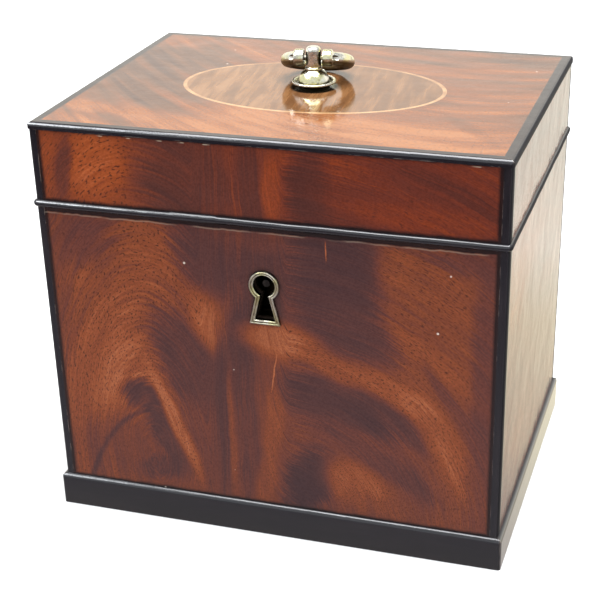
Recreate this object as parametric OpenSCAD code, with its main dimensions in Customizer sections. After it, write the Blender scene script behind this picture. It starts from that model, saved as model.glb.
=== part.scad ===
// Georgian mahogany tea caddy: a dovetailed and veneered box with ebonised trim,
// a hinged lid with an inlaid oval and a brass swing handle, a keyhole lock,
// a tea-lead lining and a loose inner lid.
// Millimetres. +X is the right-hand side, -Y the front and +Z up. The origin is at
// the middle of the underside.

/* [Case] */
// Width over the side veneers
case_w = 140; // [120:1:200]
// Depth over the front and back veneers
case_d = 105; // [90:1:160]
// Height of the body, from the table to its top edge
body_h = 101.7; // [90:0.1:150]
// Height of the lid, from its lower edge to its top veneer
lid_h = 25.5; // [22:0.1:40]
// Gap between body and lid when shut
joint_gap = 0.2; // [0.15:0.05:0.4]

/* [Boards and veneers] */
// Thickness of the front, back and side boards
board_t = 9; // [8:0.5:11]
// Thickness of the base board
base_t = 6; // [4:0.5:8]
// Thickness of the lid's top board
top_t = 6.5; // [5:0.5:8]
// Thickness of the sawn veneers
veneer_t = 1; // [0.8:0.1:1.4]
// Dovetails in each corner of the body
body_tails = 4; // [3:1:5]
// Dovetails in each corner of the lid
lid_tails = 1; // [1:1:2]
// Share of each dovetail's pitch that its narrow end takes
tail_share = 0.5; // [0.4:0.05:0.6]
// Slope of the dovetails' sides in degrees
tail_slope = 9; // [6:1:10]

/* [Ebonised trim] */
// Side of the square corner stringing
string_w = 2.5; // [2:0.1:4]
// Radius of the outer arris of all the trim
arris_r = 1; // [0.6:0.1:1.2]
// Width of the edging on the top of the lid
edging_w = 3; // [2:0.1:4]
// Height of the edging on the sides of the lid
edging_h = 2; // [1.8:0.1:4]
// How far the edging stands proud of the veneer
edging_out = 0.3; // [0.1:0.05:0.6]
// Radius of the edging's nose
edging_r = 1.2; // [0.6:0.1:1.6]
// Height of the half-round bead on the lid's lower edge
bead_h = 2; // [1.8:0.1:2.6]
// How far the bead stands proud of the veneer
bead_out = 1.3; // [0.8:0.1:1.8]
// Height of the plinth
plinth_h = 10.6; // [8:0.1:16]
// How far the plinth stands proud of the veneer
plinth_out = 1.3; // [1:0.1:2.5]
// Radius of the plinth's upper arris
plinth_r = 1.4; // [0.6:0.1:1.6]

/* [Oval inlay] */
// Length of the oval over its stringing
oval_w = 82; // [60:1:100]
// Breadth of the oval over its stringing
oval_d = 53; // [40:1:66]
// Width of the boxwood stringing round the oval
oval_line = 1.2; // [0.8:0.1:2]
// How far the oval lies to the left of the lid's middle
oval_shift = 0.8; // [0:0.1:2]

/* [Keyhole and lock] */
// Depth of the key pin below the body's top edge
key_drop = 17.6; // [15:0.1:22]
// Radius of the round part of the keyhole
key_r = 3.3; // [2.5:0.1:4]
// Half width of the keyhole's slot at the key pin's level
slot_top = 0.5; // [0.3:0.1:1]
// Half width of the keyhole's slot at its foot
slot_foot = 3.1; // [2:0.1:3.5]
// Distance from the key pin to the foot of the slot
slot_drop = 10.8; // [8:0.1:12]
// Width of the escutcheon's brass thread
thread_w = 1.2; // [0.8:0.1:1.6]
// How far the escutcheon stands proud of the veneer
thread_out = 0.9; // [0.4:0.1:1.2]
// Width of the lock case
lock_w = 34; // [32:1:40]
// Depth of the lock case below the selvedge
lock_h = 27; // [26:0.5:34]
// Thickness of the lock case, front to back
lock_t = 6; // [5.8:0.1:6.4]
// Thickness of the case's front plate and cap
plate_t = 0.7; // [0.5:0.1:0.8]
// Thickness of the case's rim
rim_t = 1; // [0.8:0.1:1.5]
// Length of the selvedge, the lock's top plate
selvedge_w = 46; // [44:1:56]
// Breadth of the selvedge and of the link plate
selvedge_d = 6.6; // [6.6:0.1:7.4]
// Thickness of the selvedge
selvedge_t = 1.5; // [1.2:0.1:2]
// Radius of the key pin
key_pin_r = 1.1; // [0.8:0.1:1.3]
// Thickness of the bolt
bolt_t = 1.4; // [1:0.1:1.4]
// Travel of the bolt when the key turns
bolt_travel = 4; // [3.8:0.1:4.4]

/* [Link plate and staple] */
// Length of the link plate in the lid's lower edge
link_w = 30; // [26:1:40]
// Thickness of the link plate
link_t = 1.3; // [1:0.1:1.6]
// Width of the staple across the lid
staple_w = 2.5; // [2:0.1:2.8]
// Thickness of the staple, front to back
staple_t = 3.6; // [3.4:0.1:3.7]
// Thickness of each leg of the staple
staple_leg = 0.85; // [0.7:0.05:0.9]
// Depth of the staple below the lid
staple_drop = 7.5; // [7:0.1:8]

/* [Hinges] */
// Length of each hinge
hinge_len = 24; // [20:1:32]
// Distance of each hinge's middle from the middle of the lid
hinge_x = 38; // [30:1:42]
// Radius of the hinge's knuckles
knuckle_r = 1.7; // [1.5:0.1:2]
// Length of the lid leaf's middle knuckle
mid_knuckle = 8; // [6:0.5:10]
// Thickness of the leaves
leaf_t = 1.1; // [0.8:0.1:1.3]
// Width of the leaves, from the pin inwards
leaf_w = 6.5; // [6:0.1:7.5]
// Radius of the hinge pins
pin_r = 0.7; // [0.6:0.05:0.8]
// Angle to which the lid opens, in degrees
open_angle = 95; // [90:1:100]

/* [Screws] */
// Radius of the screws' heads
head_r = 1.8; // [1.5:0.1:2]
// Radius of the screws' shanks
shank_r = 0.9; // [0.7:0.05:1]
// Length of the screws
screw_len = 8; // [6:0.5:10]

/* [Swing handle] */
// Shift of the handle from the lid's middle, towards the left
handle_shift = 0.5; // [0:0.1:1]
// Angle that the handle is turned by, about its shank
handle_turn = 9; // [0:1:12]
// Radius of the dished backplate at its rim
rose_r = 6.7; // [6:0.1:8]
// Radius of the backplate's foot on the lid
rose_foot = 5.3; // [4.8:0.1:5.8]
// Height of the backplate's rim
rose_rim = 2.2; // [1.8:0.1:2.4]
// Height of the boss in the middle of the backplate
boss_h = 5.4; // [4.8:0.1:5.6]
// Radius of the boss
boss_r = 4.7; // [4:0.1:5]
// Radius of the pillar
pillar_r = 2.3; // [2:0.1:2.6]
// Height of the pillar above the lid
pillar_h = 12.4; // [11:0.1:15]
// Radius of the shank through the lid
stem_r = 1.9; // [1.5:0.1:2]
// Height of the bail's pivot above the lid
pivot_h = 8.9; // [8.5:0.1:10]
// Radius of the bail's eyes
eye_r = 2.6; // [2.4:0.1:3]
// Width of each eye
eye_w = 3.2; // [2.5:0.1:4]
// Radius of the bail's round bar
bail_r = 2.1; // [1.8:0.1:2.3]
// Radius of the bail's ring, to the middle of its bar
ring_r = 9.3; // [9:0.1:11]
// Distance from the pivot to the middle of the ring
ring_reach = 9.2; // [9:0.1:11]
// Radius of the bail's pin
bail_pin_r = 0.8; // [0.6:0.05:0.9]

/* [Inside] */
// Thickness of the tea-lead lining
lead_t = 0.4; // [0.3:0.05:0.6]
// Distance from the body's top edge down to the top of the lining
lead_drop = 3; // [2:0.5:5]
// Side of the ledge strips under the inner lid
ledge_w = 5; // [4:0.5:7]
// Thickness of the inner lid
inner_t = 4; // [3:0.5:6]
// Distance from the body's top edge down to the inner lid
inner_drop = 8; // [6:0.5:10]
// Height of the inner lid's knob
knob_h = 11; // [9:0.5:12]
// Radius of the inner lid's knob
knob_r = 4.5; // [4:0.1:6]
// Thickness of the paper on the lid's ceiling
paper_t = 0.3; // [0.2:0.05:0.5]

/* [Hidden] */
$fn = 48;

// Clearance of a pin in the hole that holds it
tight_gap = 0.02;
// Clearance of a pin in the knuckle that turns on it
running_gap = 0.06;
// Clearance round anything let into wood
let_in_gap = 0.05;
// Clearance round a part that swings or slides past another
swing_gap = 0.15;
// How far a cutter runs past the face that it opens
cut = 1;

FRONT = 0;
RIGHT = 1;
BACK = 2;
LEFT = 3;

// Levels
lid_z = body_h + joint_gap;
lid_top = lid_z + lid_h;
board_top = lid_top - veneer_t;
ceiling_z = board_top - top_t;
edging_z = lid_top - edging_h;
bead_top = lid_z + bead_h;

// Plan sizes of the carcase under its veneer, and of the hollow inside it
carcase_w = case_w - 2 * veneer_t;
carcase_d = case_d - 2 * veneer_t;
hollow_w = carcase_w - 2 * board_t;
hollow_d = carcase_d - 2 * board_t;

// Hinge line: its knuckles lie flush with the back, in a groove that the two
// bevelled edges make. The bevels meet when the lid is open.
hinge_y = case_d / 2 - knuckle_r;
hinge_z = body_h + joint_gap / 2;
stop_play = 1;
bevel_angle = open_angle / 2 + stop_play;
knuckle_gap = 0.1;
side_knuckle = (hinge_len - mid_knuckle) / 2;
leaf_screw_y = hinge_y - leaf_w * 0.55;
leaf_screw_pitch = hinge_len * 0.36;

// Lock: everything is centred on the thickness of the front board
lock_y = -carcase_d / 2 + board_t / 2;
key_z = body_h - key_drop;
selvedge_z = body_h - selvedge_t;
lock_z = selvedge_z - lock_h;
selvedge_screw_x = (selvedge_w + lock_w) / 4;
link_screw_x = link_w * 0.35;
staple_z = lid_z - staple_drop;
staple_bar = 1.2;
tenon_shoulder = 0.5;
eye_gap = 0.5;
nose_gap = 0.5;
nose_z = staple_z + staple_bar + eye_gap;
nose_h = 3;
bolt_top = nose_z + nose_h;
bolt_left = -lock_w / 2 + rim_t + 0.5;
bolt_nose_x = -staple_w / 2 - nose_gap;
bolt_neck_x = bolt_nose_x - bolt_travel - 0.4;
bit_reach = 4;
bolt_low_z = key_z + bit_reach;
bolt_right = 5;
bolt_low_top = staple_z - 0.7;
stump_r = 1;
stump_gap = 1.2;
stump_rise = 1.5;
stump_x = bolt_neck_x - 0.7 * stump_r - stump_gap;
stump_z = (bolt_low_top + bolt_low_z) / 2 + stump_rise;
spring_t = 0.5;

// Handle
pivot_z = lid_top + pivot_h;
foot_out = 0.3;
pillar_slot = 0.5;
eye_x = pillar_r + pillar_slot;
rest_gap = 0.15;
rest_angle = asin((pivot_h - bail_r - rest_gap) / (ring_reach + ring_r));
nut_w = 8;
nut_h = 2.5;
stem_end = ceiling_z - nut_h - 1;

// Inner lid
seat_gap = 0.1;
inner_play = 0.8;
inner_z = body_h - inner_drop - inner_t;
spigot_r = 2;
lead_top = body_h - lead_drop;

// ---------------------------------------------------------------- helpers

// A block between two opposite corners
module block(a, b) translate(a) cube(b - a);

// Length of one side of the case, grown outwards
function side_len(side, out = 0) = (side % 2 == 0 ? case_w : case_d) + 2 * out;

// Turns a piece that is drawn along X, outer face at y = 0 and inwards along +Y,
// to one side of the case
module on_side(side, out = 0)
    rotate(90 * side) translate([0, -side_len(side + 1, out) / 2, 0]) children();

// Prism on the case's outline, with rounded upright arrises
module outline(out, r, z0, z1) {
    w = case_w + 2 * out;
    d = case_d + 2 * out;
    translate([0, 0, z0]) linear_extrude(z1 - z0) {
        square([w - 2 * r, d], center = true);
        square([w, d - 2 * r], center = true);
        for (sx = [-1, 1], sy = [-1, 1])
            translate([sx * (w / 2 - r), sy * (d / 2 - r)]) circle(r);
    }
}

// A strip of moulding for one side, cut from the profile given as its child.
// The profile has depth along its X, from the outer face inwards, and height along Y.
// Ends that aren't mitred are square.
module moulding(side, out, deep, z0, tall, mitre_l = true, mitre_r = true) {
    half = side_len(side, out) / 2;
    square_half = side_len(side) / 2;
    l = mitre_l ? half : square_half;
    r = mitre_r ? half : square_half;
    intersection() {
        on_side(side, out) translate([0, 0, z0]) intersection() {
            translate([-half, 0, 0]) rotate([90, 0, 90]) linear_extrude(2 * half) children();
            linear_extrude(tall)
                polygon([[-l, 0], [r, 0], [r - (mitre_r ? deep : 0), deep], [-l + (mitre_l ? deep : 0), deep]]);
        }
        outline(out, arris_r, z0 - cut, z0 + tall + cut);
    }
}

// Square strips let into the four upright corners
module corner_strips(z0, z1)
    intersection() {
        for (sx = [-1, 1], sy = [-1, 1])
            translate([sx * (case_w - string_w) / 2, sy * (case_d - string_w) / 2, (z0 + z1) / 2])
                cube([string_w, string_w, z1 - z0], center = true);
        outline(0, arris_r, z0 - cut, z1 + cut);
    }

// A sheet of veneer on one side, between the corner strips
module side_veneer(side, z0, z1) {
    half = side_len(side) / 2 - string_w;
    on_side(side) block([-half, 0, z0], [half, veneer_t, z1]);
}

// The dovetails on both ends of the board on one side, spread over a height
module tails(side, z0, z1, count) {
    pitch = (z1 - z0) / count;
    narrow = pitch * tail_share / 2;
    wide = narrow + board_t * tan(tail_slope);
    half = side_len(side) / 2 - veneer_t;
    on_side(side) for (end = [-1, 1], i = [0:count - 1])
        translate([0, veneer_t + board_t, z0 + pitch * (i + 0.5)]) rotate([90, 0, 0])
            linear_extrude(board_t) polygon([
                [end * (half - board_t), -narrow], [end * half, -wide],
                [end * half, wide], [end * (half - board_t), narrow]]);
}

// Front or back board, cut for the tails of the side boards
module pin_board(side, z0, z1, count) {
    half = side_len(side) / 2 - veneer_t;
    difference() {
        on_side(side) block([-half, veneer_t, z0], [half, veneer_t + board_t, z1]);
        tails(RIGHT, z0, z1, count);
        tails(LEFT, z0, z1, count);
        corner_strips(z0 - cut, z1 + cut);
    }
}

// Side board with its tails
module tail_board(side, z0, z1, count) {
    half = side_len(side) / 2 - veneer_t - board_t;
    difference() {
        union() {
            on_side(side) block([-half, veneer_t, z0], [half, veneer_t + board_t, z1]);
            tails(side, z0, z1, count);
        }
        corner_strips(z0 - cut, z1 + cut);
    }
}

// A keyhole-shaped prism from one depth to another, grown by some width
module keyhole_prism(grow, y0, y1) {
    slope = (slot_foot - slot_top) / slot_drop;
    spread = grow * sqrt(1 + slope * slope);
    foot = slot_foot + grow * slope + spread;
    translate([0, y1, key_z]) rotate([90, 0, 0]) {
        cylinder(h = y1 - y0, r = key_r + grow);
        linear_extrude(y1 - y0) polygon([[-slot_top - spread, 0], [slot_top + spread, 0],
            [foot, -slot_drop - grow], [-foot, -slot_drop - grow]]);
    }
}

// Countersunk screw with its head at z = 0 and its shank downwards
module screw() {
    head_h = head_r - shank_r;
    slot_w = 0.5;
    difference() {
        union() {
            translate([0, 0, -head_h]) cylinder(h = head_h, r1 = shank_r, r2 = head_r);
            translate([0, 0, -screw_len]) cylinder(h = screw_len - head_h, r = shank_r);
        }
        translate([0, 0, 0]) cube([2 * head_r + cut, slot_w, slot_w], center = true);
    }
}

// The hole that the screw fills in plate and wood
module screw_hole() {
    head_h = head_r - shank_r;
    translate([0, 0, -head_h]) cylinder(h = head_h, r1 = shank_r + tight_gap, r2 = head_r + tight_gap);
    translate([0, 0, -screw_len - tight_gap]) cylinder(h = screw_len, r = shank_r + tight_gap);
}

// Places its children at each hinge
module at_hinges() for (sx = [-1, 1]) translate([sx * hinge_x, 0, 0]) children();

// A round bar along X on the hinge line, centred on a hinge
module on_hinge_line(len, r)
    translate([-len / 2, hinge_y, hinge_z]) rotate([0, 90, 0]) cylinder(h = len, r = r);

// Places its children where the screws of one leaf go
module at_leaf_screws()
    for (i = [-1, 0, 1]) translate([i * leaf_screw_pitch, leaf_screw_y, 0]) children();

// The wood that the hinges and the bevelled back edge take from the body
module body_hinge_cut() {
    depth = case_d / 2 - hinge_y + cut;
    at_hinges() {
        block([-hinge_len / 2 - let_in_gap, hinge_y - leaf_w - let_in_gap, body_h - leaf_t],
            [hinge_len / 2 + let_in_gap, hinge_y, body_h + cut]);
        on_hinge_line(hinge_len + 2 * swing_gap, knuckle_r + swing_gap);
        at_leaf_screws() translate([0, 0, body_h]) screw_hole();
    }
    translate([-case_w, hinge_y, hinge_z]) rotate([90, 0, 90]) linear_extrude(2 * case_w)
        polygon([[0, 0], [depth, -depth * tan(bevel_angle)], [depth, cut], [0, cut]]);
}

// The same in the lid
module lid_hinge_cut()
    translate([0, 0, 2 * hinge_z]) mirror([0, 0, 1]) body_hinge_cut();

// ---------------------------------------------------------------- body: wood

module front_board() color("saddlebrown") difference() {
    pin_board(FRONT, base_t, body_h, body_tails);
    // Mortise for the lock, open at the top
    block([-lock_w / 2 - let_in_gap, lock_y - lock_t / 2 - let_in_gap, lock_z - let_in_gap],
        [lock_w / 2 + let_in_gap, lock_y + lock_t / 2 + let_in_gap, body_h + cut]);
    block([-selvedge_w / 2 - let_in_gap, lock_y - selvedge_d / 2 - let_in_gap, selvedge_z],
        [selvedge_w / 2 + let_in_gap, lock_y + selvedge_d / 2 + let_in_gap, body_h + cut]);
    for (sx = [-1, 1]) translate([sx * selvedge_screw_x, lock_y, body_h]) screw_hole();
    keyhole_prism(0, -case_d / 2, lock_y);
}

module back_board() color("saddlebrown") difference() {
    pin_board(BACK, base_t, body_h, body_tails);
    body_hinge_cut();
}

module left_board() color("saddlebrown") difference() {
    tail_board(LEFT, base_t, body_h, body_tails);
    body_hinge_cut();
}

module right_board() color("saddlebrown") difference() {
    tail_board(RIGHT, base_t, body_h, body_tails);
    body_hinge_cut();
}

module base_board() color("peru")
    block([-carcase_w / 2, -carcase_d / 2, 0], [carcase_w / 2, carcase_d / 2, base_t]);

module front_veneer() color("sienna") difference() {
    side_veneer(FRONT, plinth_h, body_h);
    keyhole_prism(thread_w, -case_d / 2 - cut, lock_y);
}

module back_veneer() color("sienna") difference() {
    side_veneer(BACK, plinth_h, body_h);
    body_hinge_cut();
}

module left_veneer() color("sienna") side_veneer(LEFT, plinth_h, body_h);

module right_veneer() color("sienna") side_veneer(RIGHT, plinth_h, body_h);

module body_corner_stringing() color("black") difference() {
    corner_strips(plinth_h, body_h);
    body_hinge_cut();
}

module plinth(side) color("black") {
    deep = plinth_out + veneer_t;
    moulding(side, plinth_out, deep, 0, plinth_h) {
        translate([plinth_r, 0]) square([deep - plinth_r, plinth_h]);
        square([deep, plinth_h - plinth_r]);
        translate([plinth_r, plinth_h - plinth_r]) circle(plinth_r);
    }
}

// ---------------------------------------------------------------- body: lock

// Keyhole-shaped ring of brass, let into the veneer and standing a little proud
module escutcheon() color("gold") {
    face = -case_d / 2;
    difference() {
        keyhole_prism(thread_w, face - thread_out, face + veneer_t);
        keyhole_prism(0, face - thread_out - cut, face + veneer_t + cut);
    }
}

// Case and selvedge in one brass casting, open at the back
module lock_case() color("darkgoldenrod") difference() {
    slot_w = staple_w + 2 * eye_gap;
    union() {
        block([-lock_w / 2, lock_y - lock_t / 2, lock_z], [lock_w / 2, lock_y + lock_t / 2 - plate_t, selvedge_z]);
        block([-selvedge_w / 2, lock_y - selvedge_d / 2, selvedge_z],
            [selvedge_w / 2, lock_y + selvedge_d / 2, body_h]);
    }
    difference() {
        block([-lock_w / 2 + rim_t, lock_y - lock_t / 2 + plate_t, lock_z + rim_t],
            [lock_w / 2 - rim_t, lock_y + lock_t / 2, selvedge_z]);
        // Stump on which the bolt slides
        translate([stump_x, lock_y + lock_t / 2 - plate_t, stump_z]) rotate([90, 0, 0])
            cylinder(h = lock_t, r = stump_r);
    }
    // Way through the selvedge for the staple, longer at the front for its swing
    block([-slot_w / 2, lock_y - staple_t / 2 - 0.7, selvedge_z - cut],
        [slot_w / 2, lock_y + staple_t / 2 + 0.3, body_h + cut]);
    keyhole_prism(-0.3, lock_y - lock_t, lock_y);
    for (sx = [-1, 1]) translate([sx * selvedge_screw_x, lock_y, body_h]) screw_hole();
}

module lock_cap() color("goldenrod") difference() {
    block([-lock_w / 2, lock_y + lock_t / 2 - plate_t, lock_z], [lock_w / 2, lock_y + lock_t / 2, selvedge_z]);
    translate([0, lock_y + lock_t, key_z]) rotate([90, 0, 0]) cylinder(h = lock_t, r = key_pin_r + tight_gap);
}

module key_pin() color("silver")
    translate([0, lock_y + lock_t / 2, key_z]) rotate([90, 0, 0]) cylinder(h = lock_t + 0.8, r = key_pin_r);

// Leaf spring from the case's left rim up to the bolt
module bolt_spring() color("dimgray") {
    rim_x = -lock_w / 2 + rim_t;
    spring_rise = 2;
    foot_z = lock_z + rim_t + spring_rise;
    bend_z = key_z - bit_reach;
    tip = [bolt_neck_x - 1, bolt_low_z - 0.3];
    translate([0, lock_y + bolt_t / 2, 0]) rotate([90, 0, 0]) linear_extrude(bolt_t) polygon([
        [rim_x, foot_z], [rim_x + spring_t, foot_z], [rim_x + spring_t, bend_z - spring_t],
        [tip[0], tip[1] - spring_t], tip, [rim_x, bend_z]]);
}

module lock_screws() color("dimgray")
    for (sx = [-1, 1]) translate([sx * selvedge_screw_x, lock_y, body_h]) screw();

// Bolt with its nose beside the staple, its talon over the key pin and a guide slot
module lock_bolt() color("silver") {
    talon_r = 2.4;
    slot_x0 = stump_x - stump_r - swing_gap - bolt_travel;
    slot_x1 = stump_x + stump_r + swing_gap;
    slot_r = stump_r + swing_gap;
    translate([0, lock_y + bolt_t / 2, 0]) rotate([90, 0, 0]) linear_extrude(bolt_t) difference() {
        union() {
            translate([bolt_left, bolt_low_z]) square([bolt_neck_x - bolt_left, bolt_top - bolt_low_z]);
            translate([bolt_left, nose_z]) square([bolt_nose_x - bolt_left, nose_h]);
            translate([bolt_left, bolt_low_z]) square([bolt_right - bolt_left, bolt_low_top - bolt_low_z]);
        }
        translate([slot_x0 + slot_r, stump_z - slot_r]) square([slot_x1 - slot_x0 - 2 * slot_r, 2 * slot_r]);
        translate([slot_x0 + slot_r, stump_z]) circle(slot_r);
        translate([slot_x1 - slot_r, stump_z]) circle(slot_r);
        translate([0, bolt_low_z]) circle(talon_r);
    }
}

// ---------------------------------------------------------------- hinges

// One leaf, flush in the body's top edge, with the two outer knuckles
module body_leaf() difference() {
    union() {
        block([-hinge_len / 2, hinge_y - leaf_w, body_h - leaf_t], [hinge_len / 2, hinge_y, body_h]);
        on_hinge_line(hinge_len, knuckle_r);
    }
    on_hinge_line(mid_knuckle + 2 * knuckle_gap, knuckle_r + swing_gap);
    on_hinge_line(hinge_len + cut, pin_r + tight_gap);
    at_leaf_screws() translate([0, 0, body_h]) screw_hole();
}

// One leaf, flush in the lid's lower edge, with the middle knuckle
module lid_leaf() difference() {
    union() {
        block([-hinge_len / 2, hinge_y - leaf_w, lid_z], [hinge_len / 2, hinge_y, lid_z + leaf_t]);
        on_hinge_line(mid_knuckle, knuckle_r);
    }
    for (sx = [-1, 1]) translate([sx * (mid_knuckle + side_knuckle) / 2, 0, 0])
        on_hinge_line(side_knuckle + 2 * knuckle_gap, knuckle_r + swing_gap);
    on_hinge_line(hinge_len + cut, pin_r + running_gap);
    at_leaf_screws() translate([0, 0, lid_z]) mirror([0, 0, 1]) screw_hole();
}

module body_hinge_leaves() color("goldenrod") at_hinges() body_leaf();

module lid_hinge_leaves() color("goldenrod") at_hinges() lid_leaf();

module hinge_pins() color("silver") at_hinges() on_hinge_line(hinge_len, pin_r);

module body_hinge_screws() color("dimgray")
    at_hinges() at_leaf_screws() translate([0, 0, body_h]) screw();

module lid_hinge_screws() color("dimgray")
    at_hinges() at_leaf_screws() translate([0, 0, lid_z]) mirror([0, 0, 1]) screw();

// ---------------------------------------------------------------- inside

module lead_lining() color("lightslategray") difference() {
    block([-hollow_w / 2, -hollow_d / 2, base_t], [hollow_w / 2, hollow_d / 2, lead_top]);
    block([-hollow_w / 2 + lead_t, -hollow_d / 2 + lead_t, base_t + lead_t],
        [hollow_w / 2 - lead_t, hollow_d / 2 - lead_t, lead_top + cut]);
}

// Ledge along each side wall, with its lower edge splayed
module ledge_strips() color("saddlebrown") {
    wall = hollow_w / 2 - lead_t;
    top = inner_z - seat_gap;
    half = hollow_d / 2 - lead_t;
    for (sx = [-1, 1]) scale_x(sx)
        translate([0, half, 0]) rotate([90, 0, 0]) linear_extrude(2 * half)
            polygon([[wall, top], [wall - ledge_w, top], [wall - ledge_w, top - ledge_w / 2], [wall, top - ledge_w]]);
}

// Keeps its children, or mirrors them to the other side
module scale_x(sx) mirror([sx < 0 ? 1 : 0, 0, 0]) children();

module inner_lid() color("saddlebrown") {
    w = hollow_w - 2 * (lead_t + inner_play);
    d = hollow_d - 2 * (lead_t + inner_play);
    translate([0, 0, inner_z]) difference() {
        translate([-w / 2, -d / 2, 0]) cube([w, d, inner_t]);
        translate([0, 0, -cut]) cylinder(h = inner_t + 2 * cut, r = spigot_r + tight_gap);
    }
}

// Turned knob with a spigot glued into the inner lid
module inner_lid_knob() color("wheat") {
    ball_r = knob_r * 0.85;
    translate([0, 0, inner_z]) rotate_extrude() intersection() {
        union() {
            square([spigot_r, inner_t + knob_h - ball_r]);
            translate([0, inner_t]) square([knob_r, 1.2]);
            translate([0, inner_t + 1.2]) square([knob_r * 0.7, 0.8]);
            translate([0, inner_t + knob_h - ball_r]) circle(ball_r);
        }
        square([knob_r, inner_t + knob_h]);
    }
}

// ---------------------------------------------------------------- lid: wood

module stem_hole()
    translate([-handle_shift, 0, stem_end]) cylinder(h = lid_top - stem_end + cut, r = stem_r + let_in_gap);

module lid_top_board() color("saddlebrown") difference() {
    inset = edging_w - veneer_t;
    block([-carcase_w / 2, -carcase_d / 2, ceiling_z], [carcase_w / 2, carcase_d / 2, board_top]);
    // Rebate for the edging
    difference() {
        block([-case_w / 2, -case_d / 2, edging_z], [case_w / 2, case_d / 2, lid_top]);
        block([-carcase_w / 2 + inset, -carcase_d / 2 + inset, edging_z - cut],
            [carcase_w / 2 - inset, carcase_d / 2 - inset, lid_top + cut]);
    }
    corner_strips(lid_z, lid_top);
    stem_hole();
}

module lid_front_rail() color("saddlebrown") difference() {
    pin_board(FRONT, lid_z, ceiling_z, lid_tails);
    block([-link_w / 2 - let_in_gap, lock_y - selvedge_d / 2 - let_in_gap, lid_z - cut],
        [link_w / 2 + let_in_gap, lock_y + selvedge_d / 2 + let_in_gap, lid_z + link_t]);
    for (sx = [-1, 1]) translate([sx * link_screw_x, lock_y, lid_z]) mirror([0, 0, 1]) screw_hole();
}

module lid_back_rail() color("saddlebrown") difference() {
    pin_board(BACK, lid_z, ceiling_z, lid_tails);
    lid_hinge_cut();
}

module lid_left_rail() color("saddlebrown") difference() {
    tail_board(LEFT, lid_z, ceiling_z, lid_tails);
    lid_hinge_cut();
}

module lid_right_rail() color("saddlebrown") difference() {
    tail_board(RIGHT, lid_z, ceiling_z, lid_tails);
    lid_hinge_cut();
}

module oval(inset, z0, z1) {
    a = oval_w / 2 - inset;
    b = oval_d / 2 - inset;
    points = 72;
    translate([-oval_shift, 0, z0]) linear_extrude(z1 - z0)
        polygon([for (i = [0:points - 1]) [a * cos(i * 360 / points), b * sin(i * 360 / points)]]);
}

module lid_top_veneer() color("sienna") difference() {
    block([-case_w / 2 + edging_w, -case_d / 2 + edging_w, board_top],
        [case_w / 2 - edging_w, case_d / 2 - edging_w, lid_top]);
    oval(0, board_top - cut, lid_top + cut);
}

module oval_stringing() color("khaki") difference() {
    oval(0, board_top, lid_top);
    oval(oval_line, board_top - cut, lid_top + cut);
}

module oval_panel() color("peru") difference() {
    oval(oval_line, board_top, lid_top);
    stem_hole();
}

module lid_front_veneer() color("sienna") side_veneer(FRONT, bead_top, edging_z);

module lid_back_veneer() color("sienna") difference() {
    side_veneer(BACK, lid_z, edging_z);
    lid_hinge_cut();
}

module lid_left_veneer() color("sienna") side_veneer(LEFT, bead_top, edging_z);

module lid_right_veneer() color("sienna") side_veneer(RIGHT, bead_top, edging_z);

// Full-height strips, rebated behind the bead at the front and sides
module lid_corner_stringing() color("black") difference() {
    corner_strips(lid_z, edging_z);
    difference() {
        block([-case_w / 2 - cut, -case_d / 2 - cut, lid_z - cut], [case_w / 2 + cut, case_d / 2 + cut, bead_top]);
        block([-carcase_w / 2, -carcase_d / 2, lid_z - 2 * cut], [carcase_w / 2, case_d / 2 + 2 * cut, bead_top + cut]);
    }
    lid_hinge_cut();
}

module edging(side) color("black") {
    deep = edging_w + edging_out;
    moulding(side, edging_out, deep, edging_z, edging_h) {
        translate([edging_r, 0]) square([deep - edging_r, edging_h]);
        square([deep, edging_h - edging_r]);
        translate([edging_r, edging_h - edging_r]) circle(edging_r);
    }
}

module bead(side, mitre_l, mitre_r) color("black") difference() {
    deep = bead_out + veneer_t;
    r = bead_h / 2;
    moulding(side, bead_out, deep, lid_z, bead_h, mitre_l, mitre_r) {
        translate([r, 0]) square([deep - r, bead_h]);
        translate([r, r]) circle(r);
    }
    lid_hinge_cut();
}

module lid_paper() color("tan") difference() {
    block([-hollow_w / 2, -hollow_d / 2, ceiling_z - paper_t], [hollow_w / 2, hollow_d / 2, ceiling_z]);
    translate([0, 0, ceiling_z - nut_h]) cylinder(h = nut_h + cut, r = nut_w * 0.8);
}

// Plate let into the lid's lower edge
module link_plate() color("darkgoldenrod") difference() {
    block([-link_w / 2, lock_y - selvedge_d / 2, lid_z], [link_w / 2, lock_y + selvedge_d / 2, lid_z + link_t]);
    staple_tenon(cut);
    for (sx = [-1, 1]) translate([sx * link_screw_x, lock_y, lid_z]) mirror([0, 0, 1]) screw_hole();
}

// Tenon of the staple, riveted flush through the link plate
module staple_tenon(extra = 0)
    block([-staple_w / 2 + tenon_shoulder, lock_y - staple_t / 2 + tenon_shoulder, lid_z - extra],
        [staple_w / 2 - tenon_shoulder, lock_y + staple_t / 2 - tenon_shoulder, lid_z + link_t + extra]);

// Staple that the bolt enters
module link_staple() color("goldenrod") difference() {
    union() {
        block([-staple_w / 2, lock_y - staple_t / 2, staple_z], [staple_w / 2, lock_y + staple_t / 2, lid_z]);
        staple_tenon();
    }
    block([-staple_w, lock_y - staple_t / 2 + staple_leg, staple_z + staple_bar],
        [staple_w, lock_y + staple_t / 2 - staple_leg, bolt_top + eye_gap]);
}

module link_screws() color("dimgray")
    for (sx = [-1, 1]) translate([sx * link_screw_x, lock_y, lid_z]) mirror([0, 0, 1]) screw();

// ---------------------------------------------------------------- swing handle

// Places the handle's pieces, whose own shank stands at the origin
module on_shank() translate([-handle_shift, 0, 0]) rotate(handle_turn) children();

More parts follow.
